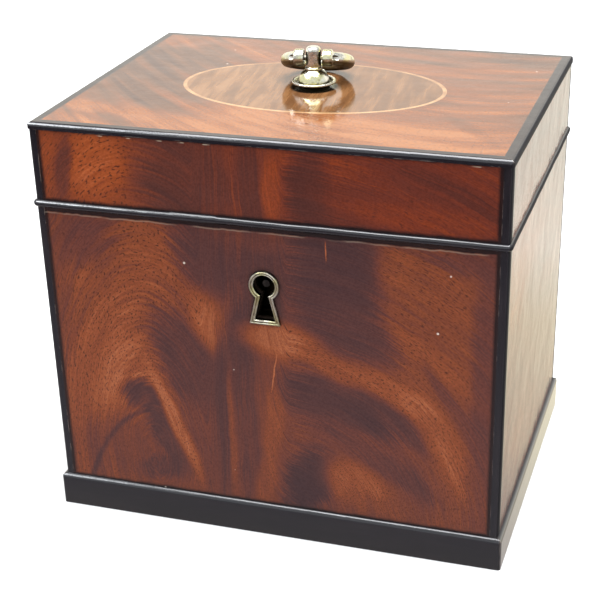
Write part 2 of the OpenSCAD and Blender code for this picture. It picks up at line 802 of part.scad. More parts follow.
// Dished round plate flaring up from its foot to a rounded rim, with a domed boss
module handle_backplate() color("gold") {
    rim_w = 0.9;
    rim_z = rose_rim - rim_w / 2;
    dish_h = rose_rim * 0.45;
    // The dome's arc meets the dish at the boss's radius and the flat under the pillar's foot
    flat_r = pillar_r + foot_out;
    dome_z = (flat_r * flat_r + boss_h * boss_h - boss_r * boss_r - dish_h * dish_h) / (2 * (boss_h - dish_h));
    dome_r = norm([boss_r, dish_h - dome_z]);
    on_shank() translate([0, 0, lid_top]) rotate_extrude() difference() {
        union() {
            polygon([[0, 0], [rose_foot, 0], [rose_r, rim_z], [rose_r - rim_w, rim_z],
                [rose_r - rim_w, dish_h], [0, dish_h]]);
            translate([rose_r - rim_w / 2, rim_z]) circle(rim_w / 2);
            intersection() {
                translate([0, dome_z]) circle(dome_r);
                square([boss_r, boss_h]);
            }
        }
        translate([-cut, -cut]) square([cut + stem_r + let_in_gap, boss_h + 2 * cut]);
    }
}

// Turned pillar: shank, flared foot, column and rounded cap, bored for the bail's pin
module handle_pillar() color("gold") {
    foot_z = boss_h;
    foot_h = 0.9;
    cap_r = 1.7;
    on_shank() difference() {
        translate([0, 0, lid_top]) rotate_extrude() {
            translate([0, stem_end - lid_top]) square([stem_r, foot_z - stem_end + lid_top]);
            translate([0, foot_z]) square([pillar_r + foot_out, foot_h]);
            translate([0, foot_z + foot_h]) square([pillar_r, pillar_h - foot_z - foot_h - cap_r]);
            translate([0, foot_z]) square([pillar_r - cap_r, pillar_h - foot_z]);
            intersection() {
                translate([pillar_r - cap_r, pillar_h - cap_r]) circle(cap_r);
                translate([0, pillar_h - cap_r - cut]) square([pillar_r, cap_r + cut]);
            }
        }
        translate([-pillar_r - cut, 0, pivot_z]) rotate([0, 90, 0])
            cylinder(h = 2 * (pillar_r + cut), r = bail_pin_r + tight_gap);
    }
}

module handle_nut() color("goldenrod") difference() {
    on_shank() translate([-nut_w / 2, -nut_w / 2, ceiling_z - nut_h]) cube([nut_w, nut_w, nut_h]);
    stem_hole();
}

module bail_pin() color("gold")
    on_shank() translate([-eye_x - eye_w, 0, pivot_z]) rotate([0, 90, 0])
        cylinder(h = 2 * (eye_x + eye_w), r = bail_pin_r);

// Ring with an eye on each side of the pillar, lying back on the lid. The
// pin's hole runs out through the ring's flanks beyond the eyes.
module bail() color("gold")
    on_shank() translate([0, 0, pivot_z]) rotate([-rest_angle, 0, 0]) difference() {
        union() {
            for (sx = [-1, 1]) scale_x(sx)
                translate([eye_x, 0, 0]) rotate([0, 90, 0]) cylinder(h = eye_w, r = eye_r);
            translate([0, ring_reach, 0]) rotate_extrude() translate([ring_r, 0]) circle(bail_r);
        }
        translate([-eye_x, -eye_r - cut, -eye_r - cut])
            cube([2 * eye_x, 2 * (eye_r + cut), 2 * (eye_r + cut)]);
        translate([-ring_r, 0, 0]) rotate([0, 90, 0])
            cylinder(h = 2 * ring_r, r = bail_pin_r + running_gap);
    }

// ---------------------------------------------------------------- nodes

front_board();
back_board();
left_board();
right_board();
base_board();
front_veneer();
back_veneer();
left_veneer();
right_veneer();
body_corner_stringing();
plinth(FRONT);  // front_plinth
plinth(BACK);  // back_plinth
plinth(LEFT);  // left_plinth
plinth(RIGHT);  // right_plinth
escutcheon();
lock_case();
lock_cap();
key_pin();
bolt_spring();
lock_screws();
lock_bolt();
body_hinge_leaves();
hinge_pins();
body_hinge_screws();
lead_lining();
ledge_strips();
inner_lid();
inner_lid_knob();
lid_top_board();
lid_front_rail();
lid_back_rail();
lid_left_rail();
lid_right_rail();
lid_top_veneer();
oval_panel();
oval_stringing();
lid_front_veneer();
lid_back_veneer();
lid_left_veneer();
lid_right_veneer();
lid_corner_stringing();
edging(FRONT);  // front_edging
edging(BACK);  // back_edging
edging(LEFT);  // left_edging
edging(RIGHT);  // right_edging
bead(FRONT, true, true);  // front_bead
bead(LEFT, false, true);  // left_bead
bead(RIGHT, true, false);  // right_bead
lid_paper();
link_plate();
link_staple();
link_screws();
lid_hinge_leaves();
lid_hinge_screws();
handle_backplate();
handle_pillar();
handle_nut();
bail_pin();
bail();
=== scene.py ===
# Georgian mahogany tea caddy: flame veneer on a dovetailed box, ebonised trim,
# an inlaid oval, a brass swing handle and a brass keyhole. Metres, +Z up, front at -Y.
import math

import bmesh
import bpy
from mathutils import Matrix, Vector


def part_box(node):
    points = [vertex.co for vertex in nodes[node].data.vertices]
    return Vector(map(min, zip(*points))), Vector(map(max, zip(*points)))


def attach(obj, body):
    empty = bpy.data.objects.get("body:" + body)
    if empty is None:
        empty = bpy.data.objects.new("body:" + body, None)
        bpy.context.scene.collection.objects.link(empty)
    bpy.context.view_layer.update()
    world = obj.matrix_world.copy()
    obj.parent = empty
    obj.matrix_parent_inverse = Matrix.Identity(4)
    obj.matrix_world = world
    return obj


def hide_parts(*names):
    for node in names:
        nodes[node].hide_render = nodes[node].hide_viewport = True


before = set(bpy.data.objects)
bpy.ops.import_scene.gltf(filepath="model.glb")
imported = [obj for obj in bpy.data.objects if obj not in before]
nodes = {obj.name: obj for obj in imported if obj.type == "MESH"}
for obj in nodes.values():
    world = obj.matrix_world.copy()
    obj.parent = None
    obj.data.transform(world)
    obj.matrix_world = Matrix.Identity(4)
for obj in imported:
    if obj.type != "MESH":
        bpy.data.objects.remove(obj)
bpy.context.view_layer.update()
MM = 0.001

# ------------------------------------------------------------ viewpoint
# A long lens a little above the caddy and to the right of its front, held slightly
# tilted.
EYE = Vector((0.12798, -0.40277, 0.25047))
YAW, PITCH, TILT = (math.radians(a) for a in (-18.036, -26.474, -1.388))
ahead = Vector((math.sin(YAW) * math.cos(PITCH), math.cos(YAW) * math.cos(PITCH), math.sin(PITCH)))
level = Vector((math.cos(YAW), -math.sin(YAW), 0.0))
over = level.cross(ahead)
across = math.cos(TILT) * level + math.sin(TILT) * over
upwards = -math.sin(TILT) * level + math.cos(TILT) * over


def new_object(name, data):
    made = bpy.data.objects.new(name, data)
    bpy.context.collection.objects.link(made)
    return made


camera = new_object("camera", bpy.data.cameras.new("camera"))
camera.data.sensor_width = 36
camera.data.lens = 85.76
camera.data.shift_x = -0.02
camera.data.shift_y = 0.075
camera.data.clip_start = 0.01
camera.matrix_world = Matrix.Translation(EYE) @ Matrix((across, upwards, -ahead)).transposed().to_4x4()
bpy.context.scene.camera = camera
bpy.context.scene.view_settings.view_transform = "Standard"

# ------------------------------------------------------------ table and light
# A pale table top under a bright ceiling. In the polish the table glows instead of being lit:
# a painted reflection, brighter beside and behind the caddy than in front of it, as beside a window.
TABLE_COLOUR = (0.82, 0.82, 0.82, 1)
# Depth on the table (m) and the colour of the painted reflection that the polish mirrors there, in parts of
# the most
MIRRORED_MOST = 1.8
MIRRORED = [(-0.38, (0.05, 0.03, 0.03)), (-0.26, (0.15, 0.12, 0.13)), (-0.07, (0.24, 0.22, 0.23)),
            (0.02, (0.50, 0.46, 0.36)), (0.12, (0.67, 0.61, 0.46)), (0.2, (0.82, 0.77, 0.66)),
            (0.32, (0.74, 0.72, 0.62))]


def add(tree, kind, inputs=None, **settings):
    """A new node: its settings, and its inputs by name or number, linked or set."""
    node = tree.nodes.new(kind)
    for name, value in settings.items():
        setattr(node, name, value)
    for socket, value in (inputs or {}).items():
        if isinstance(value, bpy.types.NodeSocket):
            tree.links.new(value, node.inputs[socket])
        else:
            node.inputs[socket].default_value = value
    return node


def calc(tree, operation, a, b=0.0, c=0.0, clamp=False):
    """One step of arithmetic."""
    return add(tree, "ShaderNodeMath", {0: a, 1: b, 2: c}, operation=operation, use_clamp=clamp).outputs[0]


def times(tree, a, b):
    return calc(tree, "MULTIPLY", a, b)


def vector(tree, operation, a, b=(0, 0, 0)):
    """One step of arithmetic on vectors. A length, a distance or a dot product is a number."""
    node = add(tree, "ShaderNodeVectorMath", {0: a, 1: b}, operation=operation)
    return node.outputs[1 if operation in ("LENGTH", "DISTANCE", "DOT_PRODUCT") else 0]


def split(tree, place):
    return add(tree, "ShaderNodeSeparateXYZ", {0: place}).outputs


def fade(tree, value, low, high, at_low=0.0, at_high=1.0, ease="SMOOTHSTEP"):
    """A value carried from one range to another, held at both ends."""
    return add(tree, "ShaderNodeMapRange", {0: value, 1: low, 2: high, 3: at_low, 4: at_high},
               interpolation_type=ease).outputs[0]


def tint(tree, amount, under, colour, how="MIX"):
    """One colour laid over another."""
    return add(tree, "ShaderNodeMix", {0: amount, 6: under, 7: colour},
               data_type="RGBA", blend_type=how).outputs[2]


def colour_ramp(tree, value, stops):
    """A colour looked up by a value, between stops (value, colour)."""
    node = add(tree, "ShaderNodeValToRGB", {0: value})
    points = node.color_ramp.elements
    while len(points) < len(stops):
        points.new(0.5)
    for point, (where, colour) in zip(points, stops):
        point.position = where
        point.color = (*colour, 1)
    return node.outputs[0]


def mesh_piece(name, points, faces):
    mesh = bpy.data.meshes.new(name)
    mesh.from_pydata(points, [], faces)
    mesh.update()
    return new_object(name, mesh)


def new_material(name):
    """An empty material, its node tree, and the place on the object that is shaded."""
    material = bpy.data.materials.new(name)
    material.use_nodes = True
    tree = material.node_tree
    tree.nodes.clear()
    return material, tree, add(tree, "ShaderNodeTexCoord").outputs["Object"]


table = mesh_piece("table", [(-4, -4, 0), (4, -4, 0), (4, 4, 0), (-4, 4, 0)], [(0, 1, 2, 3)])
table_material, tree, place = new_material("table")
depth = split(tree, place)[1]
nearest, farthest = MIRRORED[0][0], MIRRORED[-1][0]
mirrored_stops = [((y - nearest) / (farthest - nearest), colour) for y, colour in MIRRORED]
# The painted reflection: the table glows with this colour for glossy rays only
mirrored_colour = colour_ramp(tree, fade(tree, depth, nearest, farthest, ease="LINEAR"), mirrored_stops)
seen = add(tree, "ShaderNodeBsdfDiffuse", {"Color": TABLE_COLOUR}).outputs[0]
mirrored = add(tree, "ShaderNodeEmission", {"Color": mirrored_colour, "Strength": MIRRORED_MOST}).outputs[0]
in_gloss = add(tree, "ShaderNodeLightPath").outputs["Is Glossy Ray"]
surface = add(tree, "ShaderNodeMixShader", {0: in_gloss, 1: seen, 2: mirrored}).outputs[0]
add(tree, "ShaderNodeOutputMaterial", {"Surface": surface})
table.data.materials.append(table_material)

world = bpy.data.worlds.new("room")
world.use_nodes = True
bpy.context.scene.world = world
tree = world.node_tree
tree.nodes.clear()
toward = split(tree, add(tree, "ShaderNodeTexCoord").outputs["Generated"])
paths = add(tree, "ShaderNodeLightPath").outputs
# A wide window in front of the caddy and to its left, seen only in the polish
window = times(tree, fade(tree, toward[1], 0.0, -0.2), fade(tree, toward[2], 0.5, 0.72))
window = times(tree, window, fade(tree, toward[0], -0.36, -0.50, 0.6, 22.0))
window = times(tree, window, paths["Is Glossy Ray"])
strength = calc(tree, "ADD", window, fade(tree, toward[2], 0.35, 0.75, 1.05, 0.55))
# The pale wall behind the caddy is a little warmer than the rest of the room
behind = times(tree, fade(tree, toward[1], 0.2, 0.5), fade(tree, toward[2], 0.65, 0.4))
behind = times(tree, behind, paths["Is Glossy Ray"])
strength = calc(tree, "MULTIPLY_ADD", behind, 0.28, strength)
room_colour = tint(tree, behind, (0.93, 0.965, 1, 1), (1, 0.975, 0.90, 1))
room = add(tree, "ShaderNodeBackground", {"Color": room_colour, "Strength": strength}).outputs[0]
plain = add(tree, "ShaderNodeBackground", {"Color": (1, 1, 1, 1), "Strength": 1.0}).outputs[0]
add(tree, "ShaderNodeOutputWorld",
    {"Surface": add(tree, "ShaderNodeMixShader", {0: paths["Is Camera Ray"], 1: room, 2: plain}).outputs[0]})

lamp = bpy.data.lights.new("ceiling", "AREA")
lamp.shape = "RECTANGLE"
lamp.size, lamp.size_y = 1.1, 0.9
lamp.energy = 34
lamp.color = (0.97, 0.98, 1)
ceiling = new_object("ceiling", lamp)
ceiling.location = (0.05, 0.0, 1.2)
ceiling.visible_camera = False

# ------------------------------------------------------------ flame veneer
# Sawn leaves of crotch mahogany, glued over the boards' outer faces. The front leaf
# has a tall arch at the left, a dark feather inside it and wide arcs at the right.
FRONT_TONES = [(0.0, (0.044, 0.020, 0.021)), (0.25, (0.068, 0.025, 0.022)), (0.45, (0.104, 0.030, 0.021)),
               (0.6, (0.138, 0.036, 0.018)), (0.75, (0.184, 0.045, 0.016)), (0.88, (0.238, 0.061, 0.020)),
               (1.0, (0.30, 0.088, 0.034))]
# The figure's patches, laid over one another: middle x and z, half length and half
# width (mm), slope (degrees), tone (0 dark, 1 bright) and how much it covers
FRONT_PATCHES = [
    # left: the tall arch, the dark corner outside it and the red heartwood inside it
    (-50, 52, 66, 34, 78, 0.76, 1.0), (-40, 84, 26, 17, 20, 0.79, 0.8), (-58, 92, 18, 10, 30, 0.36, 0.8),
    (-67, 80, 40, 7, 88, 0.52, 0.7), (-18, 90, 16, 12, -58, 0.20, 0.9), (-46, 50, 22, 12, 40, 0.92, 0.7),
    (-26, 72, 16, 12, 0, 0.74, 0.8), (-23, 55, 26, 13, -60, 0.25, 0.95), (-44, 24, 26, 15, 12, 0.50, 0.9),
    (-40, 43, 9, 6.5, -15, 0.10, 0.9), (-34, 30, 18, 4.5, -66, 0.22, 0.9), (-34, 19, 12, 5, 15, 0.20, 0.6),
    (-22, 28, 18, 10, 85, 0.46, 0.8), (-31, 36, 27, 3.0, -68, 0.96, 1.0), (-17, 69, 13, 7, -62, 0.92, 0.9),
    # middle: dark wood round the keyhole, running down in thin dark and orange lines
    (-1, 88, 26, 10, 90, 0.22, 0.9), (0, 98, 10, 5, 0, 0.48, 0.7), (-9, 62, 20, 7, 80, 0.14, 0.9),
    (-12, 32, 34, 8, 88, 0.40, 0.8), (-15, 40, 34, 2.2, 90, 0.20, 0.7), (-12, 32, 30, 1.6, 90, 0.85, 0.6),
    (-7, 34, 40, 4.5, 92, 0.30, 0.8), (2, 44, 26, 4.0, 84, 0.78, 0.9), (-2, 18, 14, 4.0, 78, 0.75, 0.8),
    # right: the dark heart, the bright arc round it and the plain brown wood outside
    (50, 74, 40, 24, 80, 0.70, 1.0), (20, 88, 26, 17, 88, 0.16, 1.0), (29, 73, 16, 9, -50, 0.22, 0.9),
    (39, 94, 9, 7, 70, 0.80, 0.7), (60, 97, 14, 5, -8, 0.34, 0.7), (22, 49, 24, 11, -18, 0.16, 1.0),
    (24, 36, 26, 8, -28, 0.42, 0.8), (4, 67, 15, 7, -6, 0.95, 0.95), (20, 61, 14, 5, -24, 0.80, 0.9),
    (37, 55, 16, 5, -30, 0.88, 0.9), (41, 43, 14, 3.4, -48, 0.24, 0.8), (46, 50, 9, 5, -45, 1.0, 0.8),
    (55, 36, 26, 6, -64, 0.80, 0.95), (63, 26, 16, 5, 90, 0.48, 0.7),
    (12, 20, 15, 9, 72, 0.02, 1.0), (27, 22, 14, 9, -22, 0.86, 0.95), (42, 14, 18, 5, -14, 0.64, 0.8),
    (37, 30, 22, 4, -36, 0.34, 0.85), (55, 53, 20, 2.6, -58, 0.38, 0.6), (65, 60, 70, 5.0, 90, 0.38, 0.8),
    # lid: the same leaf, cut through at the joint
    (-50, 116, 16, 13, 80, 0.86, 1.0), (-60, 114, 12, 3.0, 80, 0.30, 0.8), (-66, 114, 16, 4, 80, 0.80, 0.7),
    (-22, 114, 20, 18, 88, 0.30, 1.0), (-3, 114, 16, 6, 90, 0.24, 0.9), (3, 112, 14, 3.6, 88, 0.78, 0.9),
    (14, 115, 16, 8, 90, 0.14, 1.0), (40, 113, 30, 14, 0, 0.40, 1.0), (42, 109, 24, 5, -4, 0.60, 0.8),
    # two hairline cracks
    (18.8, 96, 3.6, 0.25, 88, 1.3, 0.8), (2, 56, 7, 0.28, 80, 1.4, 0.9),
]


def new_group(name, takes, gives):
    """An empty node group with its named inputs (name, kind, default) and outputs."""
    group = bpy.data.node_groups.new(name, "ShaderNodeTree")
    for label, kind, value in takes:
        socket = group.interface.new_socket(label, in_out="INPUT", socket_type="NodeSocket" + kind)
        if value is not None:
            socket.default_value = value
    for label, kind in gives:
        group.interface.new_socket(label, in_out="OUTPUT", socket_type="NodeSocket" + kind)
    return group, group.nodes.new("NodeGroupInput").outputs, group.nodes.new("NodeGroupOutput")


def give_out(group, outlet, **values):
    for label, value in values.items():
        group.links.new(value, outlet.inputs[label])


def use_group(tree, group, inputs):
    return add(tree, "ShaderNodeGroup", inputs, node_tree=group).outputs


def cloud(tree, where, scale, detail=2.0, rough=0.5, warp=0.0):
    """Soft noise, about 0.5 on average."""
    return add(tree, "ShaderNodeTexNoise", {"Vector": where, "Scale": scale, "Detail": detail,
               "Roughness": rough, "Distortion": warp}).outputs[0]


def join(tree, x=0.0, y=0.0, z=0.0):
    return add(tree, "ShaderNodeCombineXYZ", {0: x, 1: y, 2: z}).outputs[0]


def mix(tree, amount, a, b):
    return add(tree, "ShaderNodeMix", {0: amount, 2: a, 3: b}).outputs[0]


def vary(tree, base, noise, amount):
    """The base, carried up and down by soft noise."""
    return calc(tree, "MULTIPLY_ADD", calc(tree, "SUBTRACT", noise, 0.5), amount, base)


def ridge(tree, value, middle, reach):
    """1 where the value is at the middle, fading to 0 at the reach."""
    return fade(tree, calc(tree, "ABSOLUTE", calc(tree, "SUBTRACT", value, middle)), 0.0, reach, 1.0, 0.0)


def lay_patches(tree, where, base, patches, feather=0.0):
    """Soft oval patches, each carrying the tone under it towards its own, with feathered edges."""
    tone = base
    for x, z, long, wide, slope, value, cover in patches:
        inside = add(tree, "ShaderNodeMapping", {0: where, 1: (x, z, 0), 2: (0, 0, math.radians(slope)),
                     3: (long, wide, 1)}, vector_type="TEXTURE").outputs[0]
        out = calc(tree, "ADD", vector(tree, "LENGTH", inside), feather)
        tone = mix(tree, fade(tree, out, 1.15, 0.4, 0.0, cover), tone, value)
    return tone


def arches(tree, where, x, z, tall):
    """How far out on a family of nested arches, in millimetres, and how far round."""
    inside = add(tree, "ShaderNodeMapping", {0: where, 1: (x, z, 0), 3: (1, tall, 1)},
                 vector_type="TEXTURE").outputs[0]
    parts = split(tree, inside)
    return vector(tree, "LENGTH", inside), calc(tree, "ARCTAN2", parts[0], parts[1])


# Everything that is drawn out along the wood's lines: broad bands, fibres and pores
drawn_grain, takes, outlet = new_group(
    "drawn grain",
    [("Across", "Float", 0.0), ("Along", "Float", 0.0), ("Leaf", "Float", 0.0)],
    [("Bands", "Float"), ("Fibres", "Float"), ("Pores", "Float")])
broad, fine, dash = (join(drawn_grain, times(drawn_grain, takes["Across"], across),
                          times(drawn_grain, takes["Along"], along), takes["Leaf"])
                     for across, along in ((0.16, 0.022), (2.3, 0.06), (3.4, 0.95)))
give_out(drawn_grain, outlet, Bands=cloud(drawn_grain, broad, 1.0, 3.0, 0.55),
         Fibres=cloud(drawn_grain, fine, 1.0, 3.0, 0.6),
         Pores=fade(drawn_grain, cloud(drawn_grain, dash, 1.0, 1.0, 0.45), 0.585, 0.66))

# How far the figure's lines stray (mm), and the arches that they follow: foot x and z
# (mm), and height over breadth
SWAY = 3.5
LEFT_ARCHES, RIGHT_ARCHES = (-38, 22, 2.2), (3, 6, 1.0)
# The thin dark arc low at the left: middle x and z, and radius (mm)
LOW_ARC, LOW_ARC_R = (-12.2, -3.7), 50.6

flame, takes, outlet = new_group(
    "flame figure",
    [("Place", "Vector", None), ("Warp", "Float", 1.0), ("Leaf", "Float", 0.0)],
    [("Figure", "Float"), ("Pores", "Float")])
millimetres = vector(flame, "MULTIPLY", takes["Place"], (1000, 1000, 0))
leaf_place = vector(flame, "ADD", millimetres, join(flame, z=takes["Leaf"]))
drift = add(flame, "ShaderNodeTexNoise", {"Vector": leaf_place, "Scale": 0.055, "Detail": 3.0}).outputs[1]
sway = times(flame, takes["Warp"], SWAY)
drift = vector(flame, "MULTIPLY", vector(flame, "SUBTRACT", drift, (0.5, 0.5, 0.5)), join(flame, sway, sway))
drifted = vector(flame, "ADD", millimetres, drift)
apart = split(flame, drifted)
left_out, left_round = arches(flame, drifted, *LEFT_ARCHES)
right_out, right_round = arches(flame, drifted, *RIGHT_ARCHES)
at_right = fade(flame, apart[0], -14, -2)
# The lines in the middle stand upright, and those at both sides follow their arches (mm)
line = mix(flame, at_right, left_out, right_out)
along = mix(flame, at_right, times(flame, left_round, 34.0), times(flame, right_round, 55.0))
upright = ridge(flame, apart[0], -7.0, 14.0)
line = mix(flame, upright, line, apart[0])
along = mix(flame, upright, along, apart[1])
look = use_group(flame, drawn_grain, {"Across": line, "Along": along, "Leaf": takes["Leaf"]})
feather = vary(flame, vary(flame, 0.0, look["Bands"], 0.3), look["Fibres"], 0.75)
figure = lay_patches(flame, drifted, 0.55, FRONT_PATCHES, feather)
low_out, low_round = arches(flame, drifted, *LOW_ARC, 1.0)
on_arc = times(flame, ridge(flame, low_out, LOW_ARC_R, 1.5), fade(flame, low_round, -0.4, -0.62))
figure = mix(flame, times(flame, on_arc, 0.7), figure, 0.12)
figure = vary(flame, vary(flame, figure, look["Bands"], 0.55), look["Fibres"], 0.7)
give_out(flame, outlet, Figure=figure, Pores=look["Pores"])

# Slow waves in the polish, with fine rubbing marks, for the bump of every polished face
polish, takes, outlet = new_group(
    "polish waves",
    [("Place", "Vector", None), ("Slow", "Float", 1.0)],
    [("Height", "Float"), ("Rubbed", "Float")])
slow = cloud(polish, takes["Place"], 70.0, 2.0)
rubbed = cloud(polish, takes["Place"], 900.0, 3.0, 0.7)
height = calc(polish, "MULTIPLY_ADD", rubbed, 0.06, times(polish, slow, takes["Slow"]))
give_out(polish, outlet, Height=height, Rubbed=rubbed)


def finish_shader(tree, inputs):
    shader = add(tree, "ShaderNodeBsdfPrincipled", inputs).outputs[0]
    add(tree, "ShaderNodeOutputMaterial", {"Surface": shader})


def bump(tree, height, depth):
    return add(tree, "ShaderNodeBump", {"Strength": 1.0, "Distance": depth, "Height": height}).outputs[0]


FLECK = (0.42, 0.38, 0.36, 1)
PORE = (0.030, 0.012, 0.010, 1)
GLUE_AND_SHADE = (0.008, 0.005, 0.005, 1)
CHALK = (0.42, 0.34, 0.25, 1)
SPECK = (0.55, 0.46, 0.38, 1)
# What the lid's redder polish multiplies the colours by, at the left and at the right
LID_POLISH = [(0.0, (1.16, 1.0, 0.82)), (1.0, (1.10, 0.74, 0.56))]
# How far painted shade and dirt reach out of a corner (m)
CORNER_SHADE_AND_DIRT = 0.0014


def veneer_shader(tree, place, figure, pores, tones, glue_and_shade, slow=1.0, pore_dark=0.75, redder=0.0, light=0.0):
    """Polished veneer: its tones, dark pores, glue lines at its edges, painted shade and dirt in
    its corners, and waves in the polish.
    """
    waves = use_group(tree, polish, {"Place": place, "Slow": slow})
    redder_by = colour_ramp(tree, fade(tree, split(tree, place)[0], -0.05, 0.04), LID_POLISH)
    colour = tint(tree, redder, colour_ramp(tree, figure, tones), redder_by, "MULTIPLY")
    flecks = fade(tree, cloud(tree, place, 1500.0, 3.0, 0.7), 0.42, 0.62, 0.0, 0.3)
    colour = tint(tree, flecks, colour, FLECK, "MULTIPLY")
    colour = tint(tree, times(tree, pores, fade(tree, figure, 0.3, 0.8, 0.15, pore_dark)), colour, PORE)
    # Painted shade and dirt in the corners, darker where the surface is enclosed
    corner = add(tree, "ShaderNodeAmbientOcclusion", {"Distance": CORNER_SHADE_AND_DIRT}, samples=4).outputs[1]
    glue_and_shade = calc(tree, "MAXIMUM", glue_and_shade, fade(tree, corner, 0.95, 0.55))
    colour = tint(tree, times(tree, glue_and_shade, 0.93), colour, GLUE_AND_SHADE)
    colour = tint(tree, light, colour, CHALK)
    speck = add(tree, "ShaderNodeTexVoronoi", {"Vector": place, "Scale": 75.0}).outputs["Distance"]
    colour = tint(tree, fade(tree, speck, 0.032, 0.02, 0.0, 0.8), colour, SPECK)
    finish_shader(tree, {
        "Base Color": colour,
        "Roughness": fade(tree, waves["Rubbed"], 0.3, 0.7, 0.06, 0.15),
        "Normal": bump(tree, calc(tree, "MULTIPLY_ADD", pores, -0.02, waves["Height"]), 0.0004)})


# Heights (m): bands of painted shade and dirt over the plinth, at the joint and under the edging, where
# the lid begins, the pale worn line under the joint, and the old glue under the edging
SHADE_AND_DIRT_BANDS = [(0.009, 0.0108), (0.1010, 0.1042), (0.1257, 0.13)]
LID_FROM, WORN_Z, OLD_GLUE_Z = 0.1030, 0.1009, 0.1249
# Half the breadth of the front and back leaves (m)
LEAF_HALF = 0.067


def flame_leaf(name, mirrored, warp, leaf):
    """A leaf with the whole flame, for the front or the back."""
    material, tree, place = new_material(name)
    parts = split(tree, place)
    face = join(tree, times(tree, parts[0], -1.0 if mirrored else 1.0), parts[2])
    look = use_group(tree, flame, {"Place": face, "Warp": warp, "Leaf": leaf})
    on_lid = fade(tree, parts[2], LID_FROM, LID_FROM + 0.0005)
    glue_and_shade = fade(tree, calc(tree, "ABSOLUTE", parts[0]), LEAF_HALF - 0.0012, LEAF_HALF)
    ragged = calc(tree, "MULTIPLY_ADD", cloud(tree, join(tree, parts[0], 0, 3), 160.0, 3.0), 0.0014, parts[2])
    # Painted shade and dirt in bands over the plinth, at the joint and under the edging
    for low, high in SHADE_AND_DIRT_BANDS:
        shade_and_dirt = times(tree, fade(tree, ragged, low - 0.0002, low + 0.0005),
                     fade(tree, ragged, high + 0.0018, high + 0.0006))
        glue_and_shade = calc(tree, "MAXIMUM", glue_and_shade, shade_and_dirt)
    worn = times(tree, ridge(tree, ragged, WORN_Z, 0.00035),
                 fade(tree, cloud(tree, place, 90.0, 2.0), 0.4, 0.55, 0.0, 0.28))
    # The old glue shows in dashes, left of the middle and at the right-hand end
    dashes = times(tree, ridge(tree, parts[2], OLD_GLUE_Z, 0.00018),
                   fade(tree, cloud(tree, place, 330.0, 1.0), 0.55, 0.62))
    at_left = times(tree, fade(tree, parts[0], -0.050, -0.047), fade(tree, parts[0], -0.002, -0.006))
    dashes = times(tree, dashes, calc(tree, "ADD", at_left, fade(tree, parts[0], 0.058, 0.061)))
    light = calc(tree, "MAXIMUM", worn, dashes)
    veneer_shader(tree, place, look["Figure"], look["Pores"], FRONT_TONES, glue_and_shade, redder=on_lid, light=light)
    return material


def plain_leaf(name, across, along, leaf, tones, patches, edge=None, streaks=0.6, slow=1.0):
    """A quieter leaf. Across holds the slopes of its lines in x, y and z, the axis (0 to 2)
    that they bend along, from where (mm) and how much. Along is the axis that they run in."""
    material, tree, place = new_material(name)
    mm = split(tree, vector(tree, "MULTIPLY", place, (1000, 1000, 1000)))
    bent, bend_from, bend = across[3:]
    off = calc(tree, "SUBTRACT", mm[bent], bend_from)
    line = times(tree, times(tree, off, off), bend)
    for part, slope in zip(mm, across[:3]):
        line = calc(tree, "MULTIPLY_ADD", part, slope, line)
    look = use_group(tree, drawn_grain, {"Across": line, "Along": mm[along], "Leaf": leaf})
    figure = lay_patches(tree, join(tree, mm[along], mm[1] if along == 0 else mm[2]), 0.5, patches)
    figure = vary(tree, vary(tree, figure, look["Bands"], streaks), look["Fibres"], 0.6)
    glue_and_shade = fade(tree, calc(tree, "ABSOLUTE", mm[along]), edge - 1.2, edge) if edge else 0.0
    veneer_shader(tree, place, figure, look["Pores"], tones, glue_and_shade, slow, 0.4)
    return material


def give(material, *names):
    for name in names:
        nodes[name].data.materials.clear()
        nodes[name].data.materials.append(material)


give(flame_leaf("veneer_front", False, 1.0, 0.0), "front_veneer", "lid_front_veneer")
give(flame_leaf("veneer_back", True, 2.0, 3.1), "back_veneer", "lid_back_veneer")
SIDE_PATCHES = [(-30, 90, 50, 24, 10, 0.75, 0.8), (20, 60, 50, 20, -25, 0.35, 0.8),
                (-10, 25, 50, 16, -20, 0.7, 0.8)]
# Half the breadth of the side leaves (mm)
SIDE_HALF = 49.5
give(plain_leaf("veneer_right", (0, 0.45, 1, 1, 60, 0.003), 1, 7.7, FRONT_TONES, SIDE_PATCHES,
                edge=SIDE_HALF), "right_veneer", "lid_right_veneer")
give(plain_leaf("veneer_left", (0, -0.35, 1, 1, -50, 0.004), 1, 11.3, FRONT_TONES, SIDE_PATCHES,
                edge=SIDE_HALF), "left_veneer", "lid_left_veneer")

# ------------------------------------------------------------ lid top
# A quieter leaf of the same mahogany, faded by light, with an oval of cross-cut
# veneer let into it inside a line of boxwood.
TOP_TONES = [(0.0, (0.054, 0.020, 0.011)), (0.3, (0.105, 0.042, 0.018)), (0.6, (0.170, 0.052, 0.016)),
             (0.85, (0.245, 0.077, 0.019)), (1.0, (0.30, 0.108, 0.032))]
OVAL_TONES = [(0.25, (0.118, 0.052, 0.021)), (0.55, (0.166, 0.074, 0.028)), (0.85, (0.225, 0.108, 0.044))]
TOP_PATCHES = [
    (0, -44, 90, 24, 0, 0.92, 1.0), (-58, 6, 50, 26, 88, 0.20, 0.9), (-30, 40, 22, 12, -30, 0.62, 0.8),
    (-60, 42, 14, 10, 0, 0.66, 0.8), (-44, -24, 30, 6, -32, 0.16, 0.8), (-52, -42, 20, 5, -30, 0.3, 0.8),
    (-60, -34, 14, 6, -20, 0.85, 0.7), (52, 20, 22, 22, 0, 0.56, 0.9), (58, 44, 16, 12, 0, 0.18, 0.9),
    (20, 44, 24, 8, 0, 0.60, 0.7), (50, -14, 20, 12, -40, 0.72, 0.7), (54, -30, 18, 3, -50, 0.35, 0.6),
    (40, -40, 26, 8, 10, 1.0, 0.8),
]
